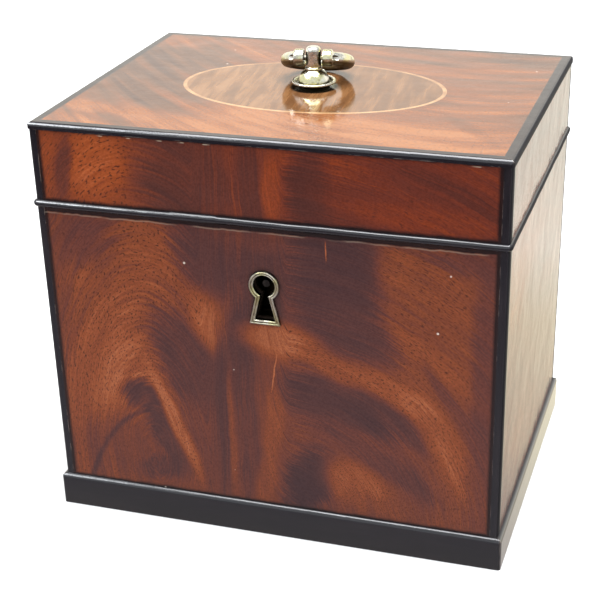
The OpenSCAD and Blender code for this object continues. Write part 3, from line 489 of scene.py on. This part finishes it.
give(plain_leaf("veneer_top", (0, 1, 0, 0, 45, -0.0055), 0, 5.0, TOP_TONES, TOP_PATCHES, streaks=1.6,
                slow=0.6), "lid_top_veneer")

# The bands of the oval's cross grain: degrees from upright, and sizes (m)
BAND_LEAN, BAND_BREADTH, BAND_LENGTH = 6, 0.003, 0.020
# The colour of painted shade, here a contact shadow round the foot of the handle, and where the shank goes
# into the lid (m)
PAINTED_SHADE = (0.006, 0.005, 0.004, 1)
SHANK = (-0.0005, 0, 0.1274)
oval_wood, tree, place = new_material("oval_wood")
turned_grain = add(tree, "ShaderNodeMapping", {0: place, 2: (0, 0, math.radians(BAND_LEAN)),
                   3: (BAND_BREADTH, BAND_LENGTH, 1)}, vector_type="TEXTURE").outputs[0]
bands = cloud(tree, turned_grain, 1.0, 3.0, 0.55, 0.3)
fibres = cloud(tree, vector(tree, "MULTIPLY", turned_grain, (7, 2.5, 1)), 1.0, 2.0)
waves = use_group(tree, polish, {"Place": place, "Slow": 0.6})
figure = vary(tree, vary(tree, 0.5, fibres, 0.5), bands, 1.7)
# Darker towards the right
figure = calc(tree, "MULTIPLY_ADD", split(tree, place)[0], -4.0, figure)
# Painted contact shadow on the oval round the foot of the handle
painted_contact_shadow = fade(tree, vector(tree, "DISTANCE", place, SHANK), 0.0078, 0.0066, 0.0, 0.97)
finish_shader(tree, {
    "Base Color": tint(tree, painted_contact_shadow, colour_ramp(tree, figure, OVAL_TONES), PAINTED_SHADE),
    "Roughness": fade(tree, waves["Rubbed"], 0.3, 0.7, 0.06, 0.14),
    "Normal": bump(tree, waves["Height"], 0.0003)})
give(oval_wood, "oval_panel")

boxwood, tree, place = new_material("boxwood")
grain = calc(tree, "MULTIPLY_ADD", split(tree, place)[1], -6.0, cloud(tree, place, 160.0, 4.0, 0.65))
finish_shader(tree, {
    "Base Color": colour_ramp(tree, grain, [(0.3, (0.225, 0.11, 0.048)), (0.7, (0.42, 0.245, 0.115))]),
    "Roughness": fade(tree, grain, 0.3, 0.7, 0.1, 0.2)})
give(boxwood, "oval_stringing")

# ------------------------------------------------------------ ebonised trim
# Pearwood stained black and polished: corner strips, edging and plinth. The stain is
# rubbed thin along the arrises, and dust lies in the pores.
EBONY = (0.007, 0.007, 0.010, 1)
WORN = (0.16, 0.125, 0.105, 1)
FADED = (0.020, 0.013, 0.012, 1)
DUSTY = (0.028, 0.021, 0.023, 1)


def ebonised(name, grain_scale, coated=False):
    """Black polished wood, its grain drawn out along one axis."""
    material, tree, place = new_material(name)
    drawn = add(tree, "ShaderNodeMapping", {0: place, 3: grain_scale}).outputs[0]
    grain = cloud(tree, drawn, 1.0, 3.0, 0.6)
    waves = use_group(tree, polish, {"Place": place, "Slow": 0.5})
    eased = add(tree, "ShaderNodeBevel", {"Radius": 0.0005}, samples=4).outputs[0]
    flat = add(tree, "ShaderNodeNewGeometry").outputs["True Normal"]
    patchy = cloud(tree, place, 260.0, 3.0, 0.65)
    rubbed = times(tree, fade(tree, vector(tree, "DOT_PRODUCT", eased, flat), 0.985, 0.86),
                   fade(tree, patchy, 0.48, 0.68))
    colour = tint(tree, fade(tree, grain, 0.35, 0.8, 0.0, 0.3), EBONY, DUSTY)
    facing = split(tree, add(tree, "ShaderNodeNewGeometry").outputs["Normal"])
    # The edging's top is faded by light
    on_top = times(tree, fade(tree, facing[2], 0.85, 0.98), fade(tree, split(tree, place)[2], 0.11, 0.12))
    colour = tint(tree, times(tree, on_top, fade(tree, patchy, 0.35, 0.6, 0.5, 0.9)), colour, FADED)
    colour = tint(tree, times(tree, rubbed, 0.85), colour, WORN)
    height = calc(tree, "MULTIPLY_ADD", grain, 0.1, waves["Height"])
    # The ends are duller than the front
    at_end = fade(tree, calc(tree, "ABSOLUTE", facing[0]), 0.3, 0.8)
    dull = calc(tree, "MULTIPLY_ADD", at_end, 0.0 if coated else 0.5, 0.04)
    shine = fade(tree, at_end, 0, 1, 0.75, 1.0 if coated else 0.15)
    finish_shader(tree, {
        "Base Color": colour,
        "Specular IOR Level": calc(tree, "MULTIPLY_ADD", on_top, -0.27, shine),
        "Roughness": calc(tree, "MULTIPLY_ADD", grain, 0.2, dull),
        "Coat Weight": times(tree, at_end, 1.0 if coated else 0.0),
        "Normal": bump(tree, height, 0.0004)})
    return material


ebony_across = ebonised("ebonised_across", (60, 900, 900))
give(ebony_across, "front_plinth", "back_plinth", "front_edging", "back_edging")
give(ebonised("ebonised_deep", (900, 60, 900)), "left_edging", "right_edging")
give(ebonised("ebonised_low", (900, 60, 900), True), "left_plinth", "right_plinth")
give(ebonised("ebonised_upright", (900, 900, 60)), "body_corner_stringing", "lid_corner_stringing")

# ------------------------------------------------------------ bead
# A thin half-round strip of the same wood, glued round the lid's front and ends just
# above the joint. It wanders a little, and a thicker piece was let in at the front.

# In mm: the radius of its corners, where the piece is let in, how far it wanders, and
# how far its back is sunk behind the half round
BEAD_CORNER = 0.7
PATCH_FROM, PATCH_TO, PATCH_SWELL = -28.0, -14.0, 1.2
WANDER, WANDER_SCALE, WANDER_SEED = 0.34, 75.0, 3.0
BEAD_SUNK = 1.2
WELD = 1e-7
# The bevel that the back ends share with the lid
HINGE_Y, BACK_BEVEL = 0.0506, math.radians(49)


def open_curve(name, points, closed=False, swell=None):
    """A poly curve through points in mm, with its own thickness at each point."""
    data = bpy.data.curves.new(name, "CURVE")
    data.dimensions = "3D"
    spline = data.splines.new("POLY")
    spline.points.add(len(points) - 1)
    for i, (point, co) in enumerate(zip(spline.points, points)):
        point.co = (co[0] * MM, co[1] * MM, co[2] * MM, 1)
        point.radius = swell[i] if swell else 1.0
    spline.use_cyclic_u = closed
    return new_object(name, data)


def strip_tree():
    """Geometry Nodes: a profile swept along a path that wanders a little."""
    tree = bpy.data.node_groups.new("strip along a path", "GeometryNodeTree")
    tree.interface.new_socket("Geometry", in_out="INPUT", socket_type="NodeSocketGeometry")
    tree.interface.new_socket("Profile", in_out="INPUT", socket_type="NodeSocketObject")
    for label, value in (("Wander", 0.0001), ("Wander scale", 60.0), ("Seed", 1.0)):
        tree.interface.new_socket(label, in_out="INPUT", socket_type="NodeSocketFloat").default_value = value
    tree.interface.new_socket("Material", in_out="INPUT", socket_type="NodeSocketMaterial")
    tree.interface.new_socket("Geometry", in_out="OUTPUT", socket_type="NodeSocketGeometry")
    takes = tree.nodes.new("NodeGroupInput").outputs
    outlet = tree.nodes.new("NodeGroupOutput")
    upright = add(tree, "GeometryNodeSetCurveNormal", {0: takes["Geometry"]}, mode="Z_UP").outputs[0]
    noise = add(tree, "ShaderNodeTexNoise", {
        "W": takes["Seed"], "Scale": takes["Wander scale"], "Detail": 2.0}, noise_dimensions="4D").outputs[1]
    centred = vector(tree, "SUBTRACT", noise, (0.5, 0.5, 0.5))
    offset = add(tree, "ShaderNodeVectorMath", {0: centred, "Scale": takes["Wander"]}, operation="SCALE")
    wandering = add(tree, "GeometryNodeSetPosition", {0: upright, "Offset": offset.outputs[0]}).outputs[0]
    profile = add(tree, "GeometryNodeObjectInfo", {0: takes["Profile"]}).outputs["Geometry"]
    radius = tree.nodes.new("GeometryNodeInputRadius").outputs[0]
    swept = add(tree, "GeometryNodeCurveToMesh", {
        "Curve": wandering, "Profile Curve": profile, "Scale": radius, "Fill Caps": True}).outputs[0]
    smooth = add(tree, "GeometryNodeSetShadeSmooth", {0: swept}).outputs[0]
    real = add(tree, "GeometryNodeRealizeInstances", {0: smooth}).outputs[0]
    coated = add(tree, "GeometryNodeSetMaterial", {0: real, "Material": takes["Material"]}).outputs[0]
    tree.links.new(coated, outlet.inputs[0])
    return tree


def sweep(name, tree, path, **values):
    """The strip as a plain mesh piece; its path and its modifier are removed."""
    modifier = path.modifiers.new("strip", "NODES")
    modifier.node_group = tree
    sockets = {item.name: item.identifier for item in tree.interface.items_tree if item.in_out == "INPUT"}
    for label, value in values.items():
        modifier[sockets[label.replace("_", " ")]] = value
    evaluated = path.evaluated_get(bpy.context.evaluated_depsgraph_get())
    piece = new_object(name, bpy.data.meshes.new_from_object(evaluated))
    bpy.data.objects.remove(path)
    return piece


def face_outwards(piece, smooth_angle=None):
    """Turns every face outwards and welds what touches."""
    bm = bmesh.new()
    bm.from_mesh(piece.data)
    bmesh.ops.remove_doubles(bm, verts=bm.verts, dist=WELD)
    bmesh.ops.recalc_face_normals(bm, faces=bm.faces)
    bm.to_mesh(piece.data)
    bm.free()
    if smooth_angle:
        piece.data.shade_smooth()
        piece.data.set_sharp_from_angle(angle=math.radians(smooth_angle))


low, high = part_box("front_bead")
BEAD_R = (high[2] - low[2]) / 2 / MM
bead_z = low[2] / MM + BEAD_R
front_y = low[1] / MM + BEAD_R + WANDER / 2
half_x = high[0] / MM - BEAD_R - WANDER / 2
back_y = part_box("left_bead")[1][1] / MM


def spaced(start, end, pitch):
    """Points along a straight line, both ends among them."""
    steps = max(1, round((end - start).length / pitch))
    return [start.lerp(end, i / steps) for i in range(steps + 1)]


def bead_path():
    """Up one end, round the front and back along the other, in mm."""
    r = BEAD_CORNER
    left = spaced(Vector((-half_x, back_y, bead_z)), Vector((-half_x, front_y + r, bead_z)), 2.0)
    front = spaced(Vector((-half_x + r, front_y, bead_z)), Vector((half_x - r, front_y, bead_z)), 1.0)
    right = spaced(Vector((half_x, front_y + r, bead_z)), Vector((half_x, back_y, bead_z)), 2.0)
    corners = []
    for centre_x, start in ((-half_x + r, 180), (half_x - r, 270)):
        angles = [math.radians(start + turn) for turn in (20, 45, 70)]
        corners.append([Vector((centre_x + r * math.cos(a), front_y + r + r * math.sin(a), bead_z))
                        for a in angles])
    return left + corners[0] + front + corners[1] + right


path_points = bead_path()
swell = [PATCH_SWELL if PATCH_FROM < p.x < PATCH_TO and p.y < 0 else 1.0 for p in path_points]
for point, size in zip(path_points, swell):
    point.y += (size - 1.0) * BEAD_R
nose = [(BEAD_R * math.sin(a), -BEAD_R * math.cos(a), 0) for a in map(math.radians, range(0, 181, 15))]
half_round = [(-BEAD_SUNK, -BEAD_R, 0)] + nose + [(-BEAD_SUNK, BEAD_R, 0)]
profile = open_curve("bead_profile", half_round, closed=True)
bead = sweep("bead", strip_tree(), open_curve("bead_path", path_points, swell=swell), Profile=profile,
             Wander=WANDER * MM, Wander_scale=WANDER_SCALE, Seed=WANDER_SEED, Material=ebony_across)
bpy.data.objects.remove(profile)
trimmed = bmesh.new()
trimmed.from_mesh(bead.data)
bevel = (0, math.sin(BACK_BEVEL), -math.cos(BACK_BEVEL))
bmesh.ops.bisect_plane(trimmed, geom=trimmed.verts[:] + trimmed.edges[:] + trimmed.faces[:], dist=WELD,
                       plane_co=(0, HINGE_Y, low[2]), plane_no=bevel, clear_outer=True)
bmesh.ops.holes_fill(trimmed, edges=[edge for edge in trimmed.edges if edge.is_boundary])
trimmed.to_mesh(bead.data)
trimmed.free()
face_outwards(bead, 40)
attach(bead, "lid")
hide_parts("front_bead", "left_bead", "right_bead")

# ------------------------------------------------------------ brass
# Cast and turned brass, once lacquered: bright where hands rub it, brown in the hollows,
# with painted shade on its undersides and round the way into the lock.
GREENER = (0.74, 0.70, 0.40, 1)
FINE_SPOT = (0.35, 0.28, 0.18, 1)
LEDGE_DIRT = (0.05, 0.042, 0.03, 1)
# The middle of the way into the lock, and how far round it the painted shade begins and is full (m)
LOCK_WAY, SHADE_FROM, SHADE_FULL = (0, 0, 0.081), 0.0115, 0.0095


def in_keyhole(tree, place):
    """How much painted shade lies round the way into the lock, 0 elsewhere."""
    off = vector(tree, "DISTANCE", vector(tree, "MULTIPLY", place, (1, 0, 1)), LOCK_WAY)
    return fade(tree, off, SHADE_FROM, SHADE_FULL, 0.0, 0.93)


def brass(name, bright, tarnish, reach, rough, patches=0.5, under=0.75, ledge=0.0, inside=None):
    """Brass from bright to tarnished. Reach is how far dirt comes out of a hollow (m); patches,
    under and ledge say how dark its spots, undersides and ledges are, the undersides' dark being
    painted shade; behind inside (m) it has painted shade round the way into the lock."""
    material, tree, place = new_material(name)
    hollow = add(tree, "ShaderNodeAmbientOcclusion", {"Distance": reach}, samples=6).outputs[1]
    patchy = cloud(tree, place, 420.0, 4.0, 0.65)
    fine = cloud(tree, place, 2600.0, 2.0)
    green = fade(tree, cloud(tree, place, 240.0, 2.0), 0.42, 0.62)
    bright = tint(tree, green, bright, GREENER)
    up = split(tree, add(tree, "ShaderNodeNewGeometry").outputs["Normal"])[2]
    shade_and_dirt = calc(tree, "MULTIPLY_ADD", fade(tree, hollow, 0.8, 0.3), 0.8,
                fade(tree, patchy, 0.50, 0.72, 0, patches))
    # Faces that look down are darker: painted shade
    shade_and_dirt = calc(tree, "ADD", shade_and_dirt, fade(tree, up, 0.2, -0.35, 0.0, under), clamp=True)
    colour = tint(tree, shade_and_dirt, bright, tarnish)
    colour = tint(tree, fade(tree, fine, 0.55, 0.75, 0, 0.25), colour, FINE_SPOT)
    on_ledge = times(tree, fade(tree, up, 0.4, 0.75, 0.0, ledge), fade(tree, patchy, 0.40, 0.55, 0.7, 1.0))
    colour = tint(tree, on_ledge, colour, LEDGE_DIRT)
    # Painted shade round the way into the lock
    if inside is not None:
        ragged = calc(tree, "MULTIPLY_ADD", patchy, 0.0014, split(tree, place)[1])
        deep = fade(tree, ragged, inside + 0.0005, inside + 0.0008)
        colour = tint(tree, times(tree, in_keyhole(tree, place), deep), colour, PAINTED_SHADE)
    finish_shader(tree, {
        "Base Color": colour, "Metallic": 1.0,
        "Roughness": fade(tree, shade_and_dirt, 0.0, 1.0, *rough),
        "Normal": bump(tree, calc(tree, "MULTIPLY_ADD", fine, 0.3, patchy), 0.00012)})
    return material


handle_brass = brass("handle_brass", (0.80, 0.78, 0.70, 1), (0.075, 0.06, 0.03, 1), 0.0026, (0.17, 0.4),
                     patches=0.65, under=0.95)
escutcheon_brass = brass("escutcheon_brass", (0.98, 0.94, 0.78, 1), (0.30, 0.24, 0.13, 1), 0.0007, (0.3, 0.5),
                         patches=0.4, under=0.0, ledge=0.95, inside=-0.0527)
lock_brass = brass("lock_brass", (0.62, 0.43, 0.19, 1), (0.12, 0.07, 0.03, 1), 0.003, (0.28, 0.5),
                   inside=-1.0)
give(handle_brass, "handle_nut", "bail_pin")
give(lock_brass, "lock_case", "lock_cap", "link_plate", "link_staple", "body_hinge_leaves",
     "lid_hinge_leaves")

# ------------------------------------------------------------ swing handle
# A turned backplate and pillar, and a cast ring hung on a pin through the pillar. The
# handle has turned a little on its shank, and the ring lies back on the lid.

# In mm and degrees: the handle's shift and turn, the ring's radius, how far its middle is
# from the pin, its bar, its two eyes and the hole through them
HANDLE_SHIFT, HANDLE_TURN = 0.5, 9.0
RING_R, RING_REACH, BAR_R = 9.3, 9.2, 2.1
EYE_R, EYE_IN, EYE_OUT, PIN_HOLE = 2.6, 2.8, 6.0, 0.86
# Where the bar begins inside an eye, and half the length of the tool that bores the hole
BAR_START, BORE_HALF = 4.4, 9.5
PIVOT_Z, LID_GAP = 8.9, 0.15
REST = math.asin((PIVOT_Z - BAR_R - LID_GAP) / (RING_REACH + RING_R))
lid_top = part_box("lid_top_veneer")[1][2] / MM
pillar_low, pillar_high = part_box("handle_pillar")
on_shank = (Matrix.Translation((-HANDLE_SHIFT * MM, 0, lid_top * MM))
            @ Matrix.Rotation(math.radians(HANDLE_TURN), 4, "Z"))
in_ring = on_shank @ Matrix.Translation((0, 0, PIVOT_Z * MM)) @ Matrix.Rotation(-REST, 4, "X")


def rounded(corners, steps=6):
    """An open outline whose corners (across, up, radius) are rounded by arcs."""
    outline = []
    for i, (x, y, radius) in enumerate(corners):
        here = Vector((x, y))
        if radius == 0:
            outline.append(here)
            continue
        back = (Vector(corners[i - 1][:2]) - here).normalized()
        on = (Vector(corners[i + 1][:2]) - here).normalized()
        half = back.angle(on) / 2
        centre = here + (back + on).normalized() * (radius / math.sin(half))
        start = here + back * (radius / math.tan(half)) - centre
        end = here + on * (radius / math.tan(half)) - centre
        outline += [centre + start.slerp(end, k / steps).normalized() * radius for k in range(steps + 1)]
    return outline


def turned(name, outline, segments=96):
    """A solid turned about the Z axis from an outline (radius, height) in mm."""
    bm = bmesh.new()
    corners = [bm.verts.new((p[0] * MM, 0, p[1] * MM)) for p in outline]
    lines = [bm.edges.new(pair) for pair in zip(corners, corners[1:])]
    bmesh.ops.spin(bm, geom=corners + lines, axis=(0, 0, 1), cent=(0, 0, 0), angle=math.tau, steps=segments,
                   use_merge=True)
    mesh = bpy.data.meshes.new(name)
    bm.to_mesh(mesh)
    bm.free()
    piece = new_object(name, mesh)
    face_outwards(piece, 40)
    return piece


# In mm: the backplate's rim and foot, its boss, the depth of the dish and the pillar's foot
ROSE_R, ROSE_FOOT, BOSS_R, BOSS_H, DISH_H, FOOT_R = 6.7, 5.3, 4.7, 5.4, 0.99, 2.6
DOME_Z = (FOOT_R ** 2 + BOSS_H ** 2 - BOSS_R ** 2 - DISH_H ** 2) / (2 * (BOSS_H - DISH_H))
DOME_R = math.hypot(BOSS_R, DISH_H - DOME_Z)
dome_heights = [DISH_H + (BOSS_H - DISH_H) * i / 14 for i in range(15)]
dome = [Vector((math.sqrt(DOME_R ** 2 - (z - DOME_Z) ** 2), z)) for z in dome_heights]
rim = rounded([
    (2.0, 0.0, 0), (ROSE_FOOT - 0.5, 0.0, 0.1), (ROSE_FOOT - 0.4, 0.5, 0.3), (ROSE_R - 0.6, 1.2, 0.4),
    (ROSE_R, 1.6, 0.2), (ROSE_R, 2.2, 0.28), (ROSE_R - 0.8, 2.2, 0.3), (ROSE_R - 1.2, DISH_H + 0.1, 0.3),
    (BOSS_R + 0.1, DISH_H, 0)])
rose_outline = rim + dome + rounded([(FOOT_R + 0.1, BOSS_H, 0), (2.0, BOSS_H, 0)])
rose = turned("rose", rose_outline + [rose_outline[0]])
stem_foot = pillar_low[2] / MM - lid_top
pillar_top = pillar_high[2] / MM - lid_top
pillar = turned("pillar", rounded([
    (0, stem_foot, 0), (1.9, stem_foot, 0.3), (1.9, BOSS_H, 0), (FOOT_R, BOSS_H, 0.15),
    (FOOT_R, BOSS_H + 0.7, 0.3), (2.25, BOSS_H + 0.9, 0.2), (2.3, BOSS_H + 1.8, 1.0),
    (2.3, pillar_top, 1.25), (0, pillar_top, 0)]))
for piece, node in ((rose, "handle_backplate"), (pillar, "handle_pillar")):
    piece.data.transform(on_shank)
    piece.data.materials.append(handle_brass)
    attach(piece, "lid")
    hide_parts(node)


def ring_bar(segments=120, sides=28):
    """The ring's bar, from inside one eye round to inside the other, in mm."""
    start = math.asin(BAR_START / RING_R)
    points, faces = [], []
    for i in range(segments + 1):
        turn = start + (math.tau - 2 * start) * i / segments
        middle = Vector((RING_R * math.sin(turn), RING_REACH - RING_R * math.cos(turn), 0))
        out = Vector((math.sin(turn), -math.cos(turn), 0))
        bar = BAR_R * (1 - 0.012 * math.sin(3.0 * turn + 1.0) - 0.012)
        for k in range(sides):
            a = math.tau * k / sides
            points.append(middle + bar * (math.cos(a) * out + math.sin(a) * Vector((0, 0, 1))))
    for i in range(segments):
        for k in range(sides):
            a, b = i * sides + k, i * sides + (k + 1) % sides
            faces.append((a, b, b + sides, a + sides))
    faces += [tuple(range(sides)), tuple(range(segments * sides, (segments + 1) * sides))[::-1]]
    return [p * MM for p in points], faces


bail = mesh_piece("ring_bail", *ring_bar())
eye_outline = rounded([(0, EYE_IN, 0), (EYE_R, EYE_IN, 0.35), (EYE_R, EYE_OUT, 0.9), (0, EYE_OUT, 0)])
for side in (1, -1):
    eye = turned("eye", eye_outline)
    eye.data.transform(Matrix.Rotation(math.radians(90 * side), 4, "Y"))
    joined = bmesh.new()
    joined.from_mesh(bail.data)
    joined.from_mesh(eye.data)
    joined.to_mesh(bail.data)
    joined.free()
    bpy.data.objects.remove(eye)
face_outwards(bail)
remesh = bail.modifiers.new("cast", "REMESH")
remesh.mode = "VOXEL"
remesh.voxel_size = 0.14 * MM
soften = bail.modifiers.new("soften", "SMOOTH")
soften.factor, soften.iterations = 0.5, 9
bore_outline = [(0, -BORE_HALF), (PIN_HOLE, -BORE_HALF), (PIN_HOLE, BORE_HALF), (0, BORE_HALF)]
pin_cutter = turned("pin_cutter", [Vector(corner) for corner in bore_outline], 32)
pin_cutter.data.transform(Matrix.Rotation(math.radians(90), 4, "Y"))
bore = bail.modifiers.new("bore", "BOOLEAN")
bore.operation = "DIFFERENCE"
bore.object = pin_cutter
cast = bpy.data.meshes.new_from_object(bail.evaluated_get(bpy.context.evaluated_depsgraph_get()))
bail.modifiers.clear()
bail.data = cast
bpy.data.objects.remove(pin_cutter)
cast.transform(in_ring)
cast.shade_smooth()
cast.set_sharp_from_angle(angle=math.radians(50))
cast.materials.clear()
cast.materials.append(handle_brass)
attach(bail, "bail")
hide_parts("bail")

# ------------------------------------------------------------ escutcheon
# A cast thread let in round the keyhole: a rounded bead with a thin lip inside it,
# mitred at the foot.

# In mm: the keyhole's round, its leg's half breadths and its length, and the thread's breadth,
# how far it stands proud and how deep it is let in
KEY_R, SLOT_TOP, SLOT_FOOT, SLOT_DROP = 3.3, 0.5, 3.1, 10.8
THREAD_W, THREAD_OUT, THREAD_IN = 1.2, 0.9, 1.0
low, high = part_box("escutcheon")
key_z = high[2] / MM - THREAD_W - KEY_R
face_y = low[1] / MM + THREAD_OUT


def keyhole_path(grow):
    """Round the keyhole, the given distance outside its edge."""
    slope = (SLOT_FOOT - SLOT_TOP) / SLOT_DROP
    spread = SLOT_TOP + grow * math.sqrt(1 + slope * slope)
    r = KEY_R + grow
    # Where the straight leg meets the round
    drop = (-slope * spread + math.sqrt(r * r * (1 + slope * slope) - spread * spread)) / (1 + slope * slope)
    neck = math.atan2(spread + slope * drop, drop)
    turns = [neck + (math.tau - 2 * neck) * i / 48 for i in range(49)]
    foot_x, foot_z = spread + slope * (SLOT_DROP + grow), -SLOT_DROP - grow
    legs = [Vector((x * foot_x, foot_z)) for x in (-1, -0.5, 0, 0.5)]
    ring = [Vector((r * math.sin(t), -r * math.cos(t))) for t in turns]
    left = [ring[-1].lerp(legs[0], k / 6) for k in range(1, 6)]
    right = [Vector((foot_x, foot_z)).lerp(ring[0], k / 6) for k in range(0, 6)]
    return ring + left + legs + right


def mitred(name, path, profile, face, up):
    """A closed bar along a closed path, its corners mitred. The profile is (outwards, proud)."""
    points, faces = [], []
    count, sides = len(path), len(profile)
    for i, here in enumerate(path):
        before = (here - path[i - 1]).normalized()
        after = (path[(i + 1) % count] - here).normalized()
        n1, n2 = Vector((before.y, -before.x)), Vector((after.y, -after.x))
        out = (n1 + n2) / (1 + n1.dot(n2))
        for u, v in profile:
            points.append(((here.x + out.x * u) * MM, (face - v) * MM, (up + here.y + out.y * u) * MM))
    for i in range(count):
        j = (i + 1) % count
        for k in range(sides):
            m = (k + 1) % sides
            faces.append((i * sides + k, i * sides + m, j * sides + m, j * sides + k))
    return mesh_piece(name, points, faces)


half_w = THREAD_W / 2
thread_profile = rounded([
    (half_w, -THREAD_IN, 0), (half_w, 0.7, 0.2), (0.42, THREAD_OUT, 0.2), (0.16, 0.8, 0.12), (0.0, 0.3, 0.08),
    (-0.16, 0.62, 0.1), (-0.4, 0.68, 0.12), (-half_w, 0.45, 0.12), (-half_w, -THREAD_IN, 0)])
thread = mitred("escutcheon_thread", keyhole_path(half_w), thread_profile, face_y, key_z)
face_outwards(thread, 35)
thread.data.materials.append(escutcheon_brass)
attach(thread, "caddy_body")
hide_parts("escutcheon")

# ------------------------------------------------------------ iron
# Screws, pins and the lock's bolt and spring, dark with a little rust, with painted shade round the way into
# the lock.
iron, tree, place = new_material("iron")
rust = fade(tree, cloud(tree, place, 700.0, 4.0, 0.65), 0.5, 0.68)
iron_colour = tint(tree, rust, (0.20, 0.19, 0.18, 1), (0.11, 0.045, 0.02, 1))
# Painted shade round the way into the lock, on the key pin and the parts near it
finish_shader(tree, {
    "Base Color": tint(tree, times(tree, in_keyhole(tree, place), 0.8), iron_colour, PAINTED_SHADE),
    "Metallic": calc(tree, "SUBTRACT", 1.0, rust), "Roughness": fade(tree, rust, 0, 1, 0.35, 0.8)})
give(iron, "lock_screws", "link_screws", "body_hinge_screws", "lid_hinge_screws", "hinge_pins", "key_pin",
     "lock_bolt", "bolt_spring")

# ------------------------------------------------------------ carcase and inside
# Plain mahogany boards on a pine base, a waxed mahogany inner lid with a boxwood knob,
# a lining of tea lead and paper on the lid's ceiling.


def sawn_wood(name, light, dark, stretch, rough=0.6):
    """Plain wood, its grain drawn out along one axis."""
    material, tree, place = new_material(name)
    drawn = add(tree, "ShaderNodeMapping", {0: place, 3: stretch}).outputs[0]
    rings = cloud(tree, drawn, 1.0, 4.0, 0.6, 0.6)
    pores = cloud(tree, vector(tree, "MULTIPLY", drawn, (7, 7, 7)), 1.0, 2.0)
    mixed = vary(tree, rings, pores, 0.5)
    # Painted shade round the way into the lock
    colour = tint(tree, in_keyhole(tree, place), colour_ramp(tree, mixed, [(0.3, dark), (0.7, light)]), PAINTED_SHADE)
    finish_shader(tree, {
        "Base Color": colour,
        "Roughness": fade(tree, rings, 0.3, 0.7, rough - 0.1, rough + 0.1),
        "Normal": bump(tree, mixed, 0.0002)})
    return material


# The light and dark of each wood, and how its grain is drawn out along, across or up
MAHOGANY = ((0.27, 0.112, 0.048), (0.155, 0.055, 0.022))
PINE = ((0.42, 0.25, 0.12), (0.24, 0.12, 0.05))
WAXED_MAHOGANY = ((0.20, 0.062, 0.022), (0.09, 0.026, 0.011))
KNOB_BOXWOOD = ((0.50, 0.32, 0.155), (0.34, 0.195, 0.085))
give(sawn_wood("carcase_across", *MAHOGANY, (25, 300, 300)), "front_board", "back_board", "lid_front_rail",
     "lid_back_rail", "lid_top_board")
give(sawn_wood("carcase_deep", *MAHOGANY, (300, 25, 300)), "left_board", "right_board", "lid_left_rail",
     "lid_right_rail")
give(sawn_wood("carcase_strips", *MAHOGANY, (60, 60, 400)), "ledge_strips")
give(sawn_wood("base_pine", *PINE, (25, 300, 300)), "base_board")
give(sawn_wood("inner_mahogany", *WAXED_MAHOGANY, (30, 420, 420), 0.35), "inner_lid")
give(sawn_wood("knob_boxwood", *KNOB_BOXWOOD, (300, 300, 60), 0.3), "inner_lid_knob")

tea_lead, tree, place = new_material("tea_lead")
dents = cloud(tree, place, 120.0, 3.0, 0.5)
bloom = fade(tree, cloud(tree, place, 60.0, 4.0, 0.6), 0.4, 0.7)
finish_shader(tree, {
    "Base Color": tint(tree, bloom, (0.30, 0.30, 0.31, 1), (0.46, 0.45, 0.42, 1)),
    "Metallic": fade(tree, bloom, 0, 1, 0.9, 0.5), "Roughness": fade(tree, bloom, 0, 1, 0.35, 0.6),
    "Normal": bump(tree, dents, 0.0012)})
give(tea_lead, "lead_lining")

paper, tree, place = new_material("lid_paper")
stains = cloud(tree, place, 35.0, 4.0, 0.6)
pulp = cloud(tree, place, 1200.0, 2.0)
finish_shader(tree, {
    "Base Color": colour_ramp(tree, stains, [(0.35, (0.40, 0.30, 0.19)), (0.7, (0.58, 0.48, 0.34))]),
    "Roughness": 0.85, "Normal": bump(tree, pulp, 0.00006)})
give(paper, "lid_paper")
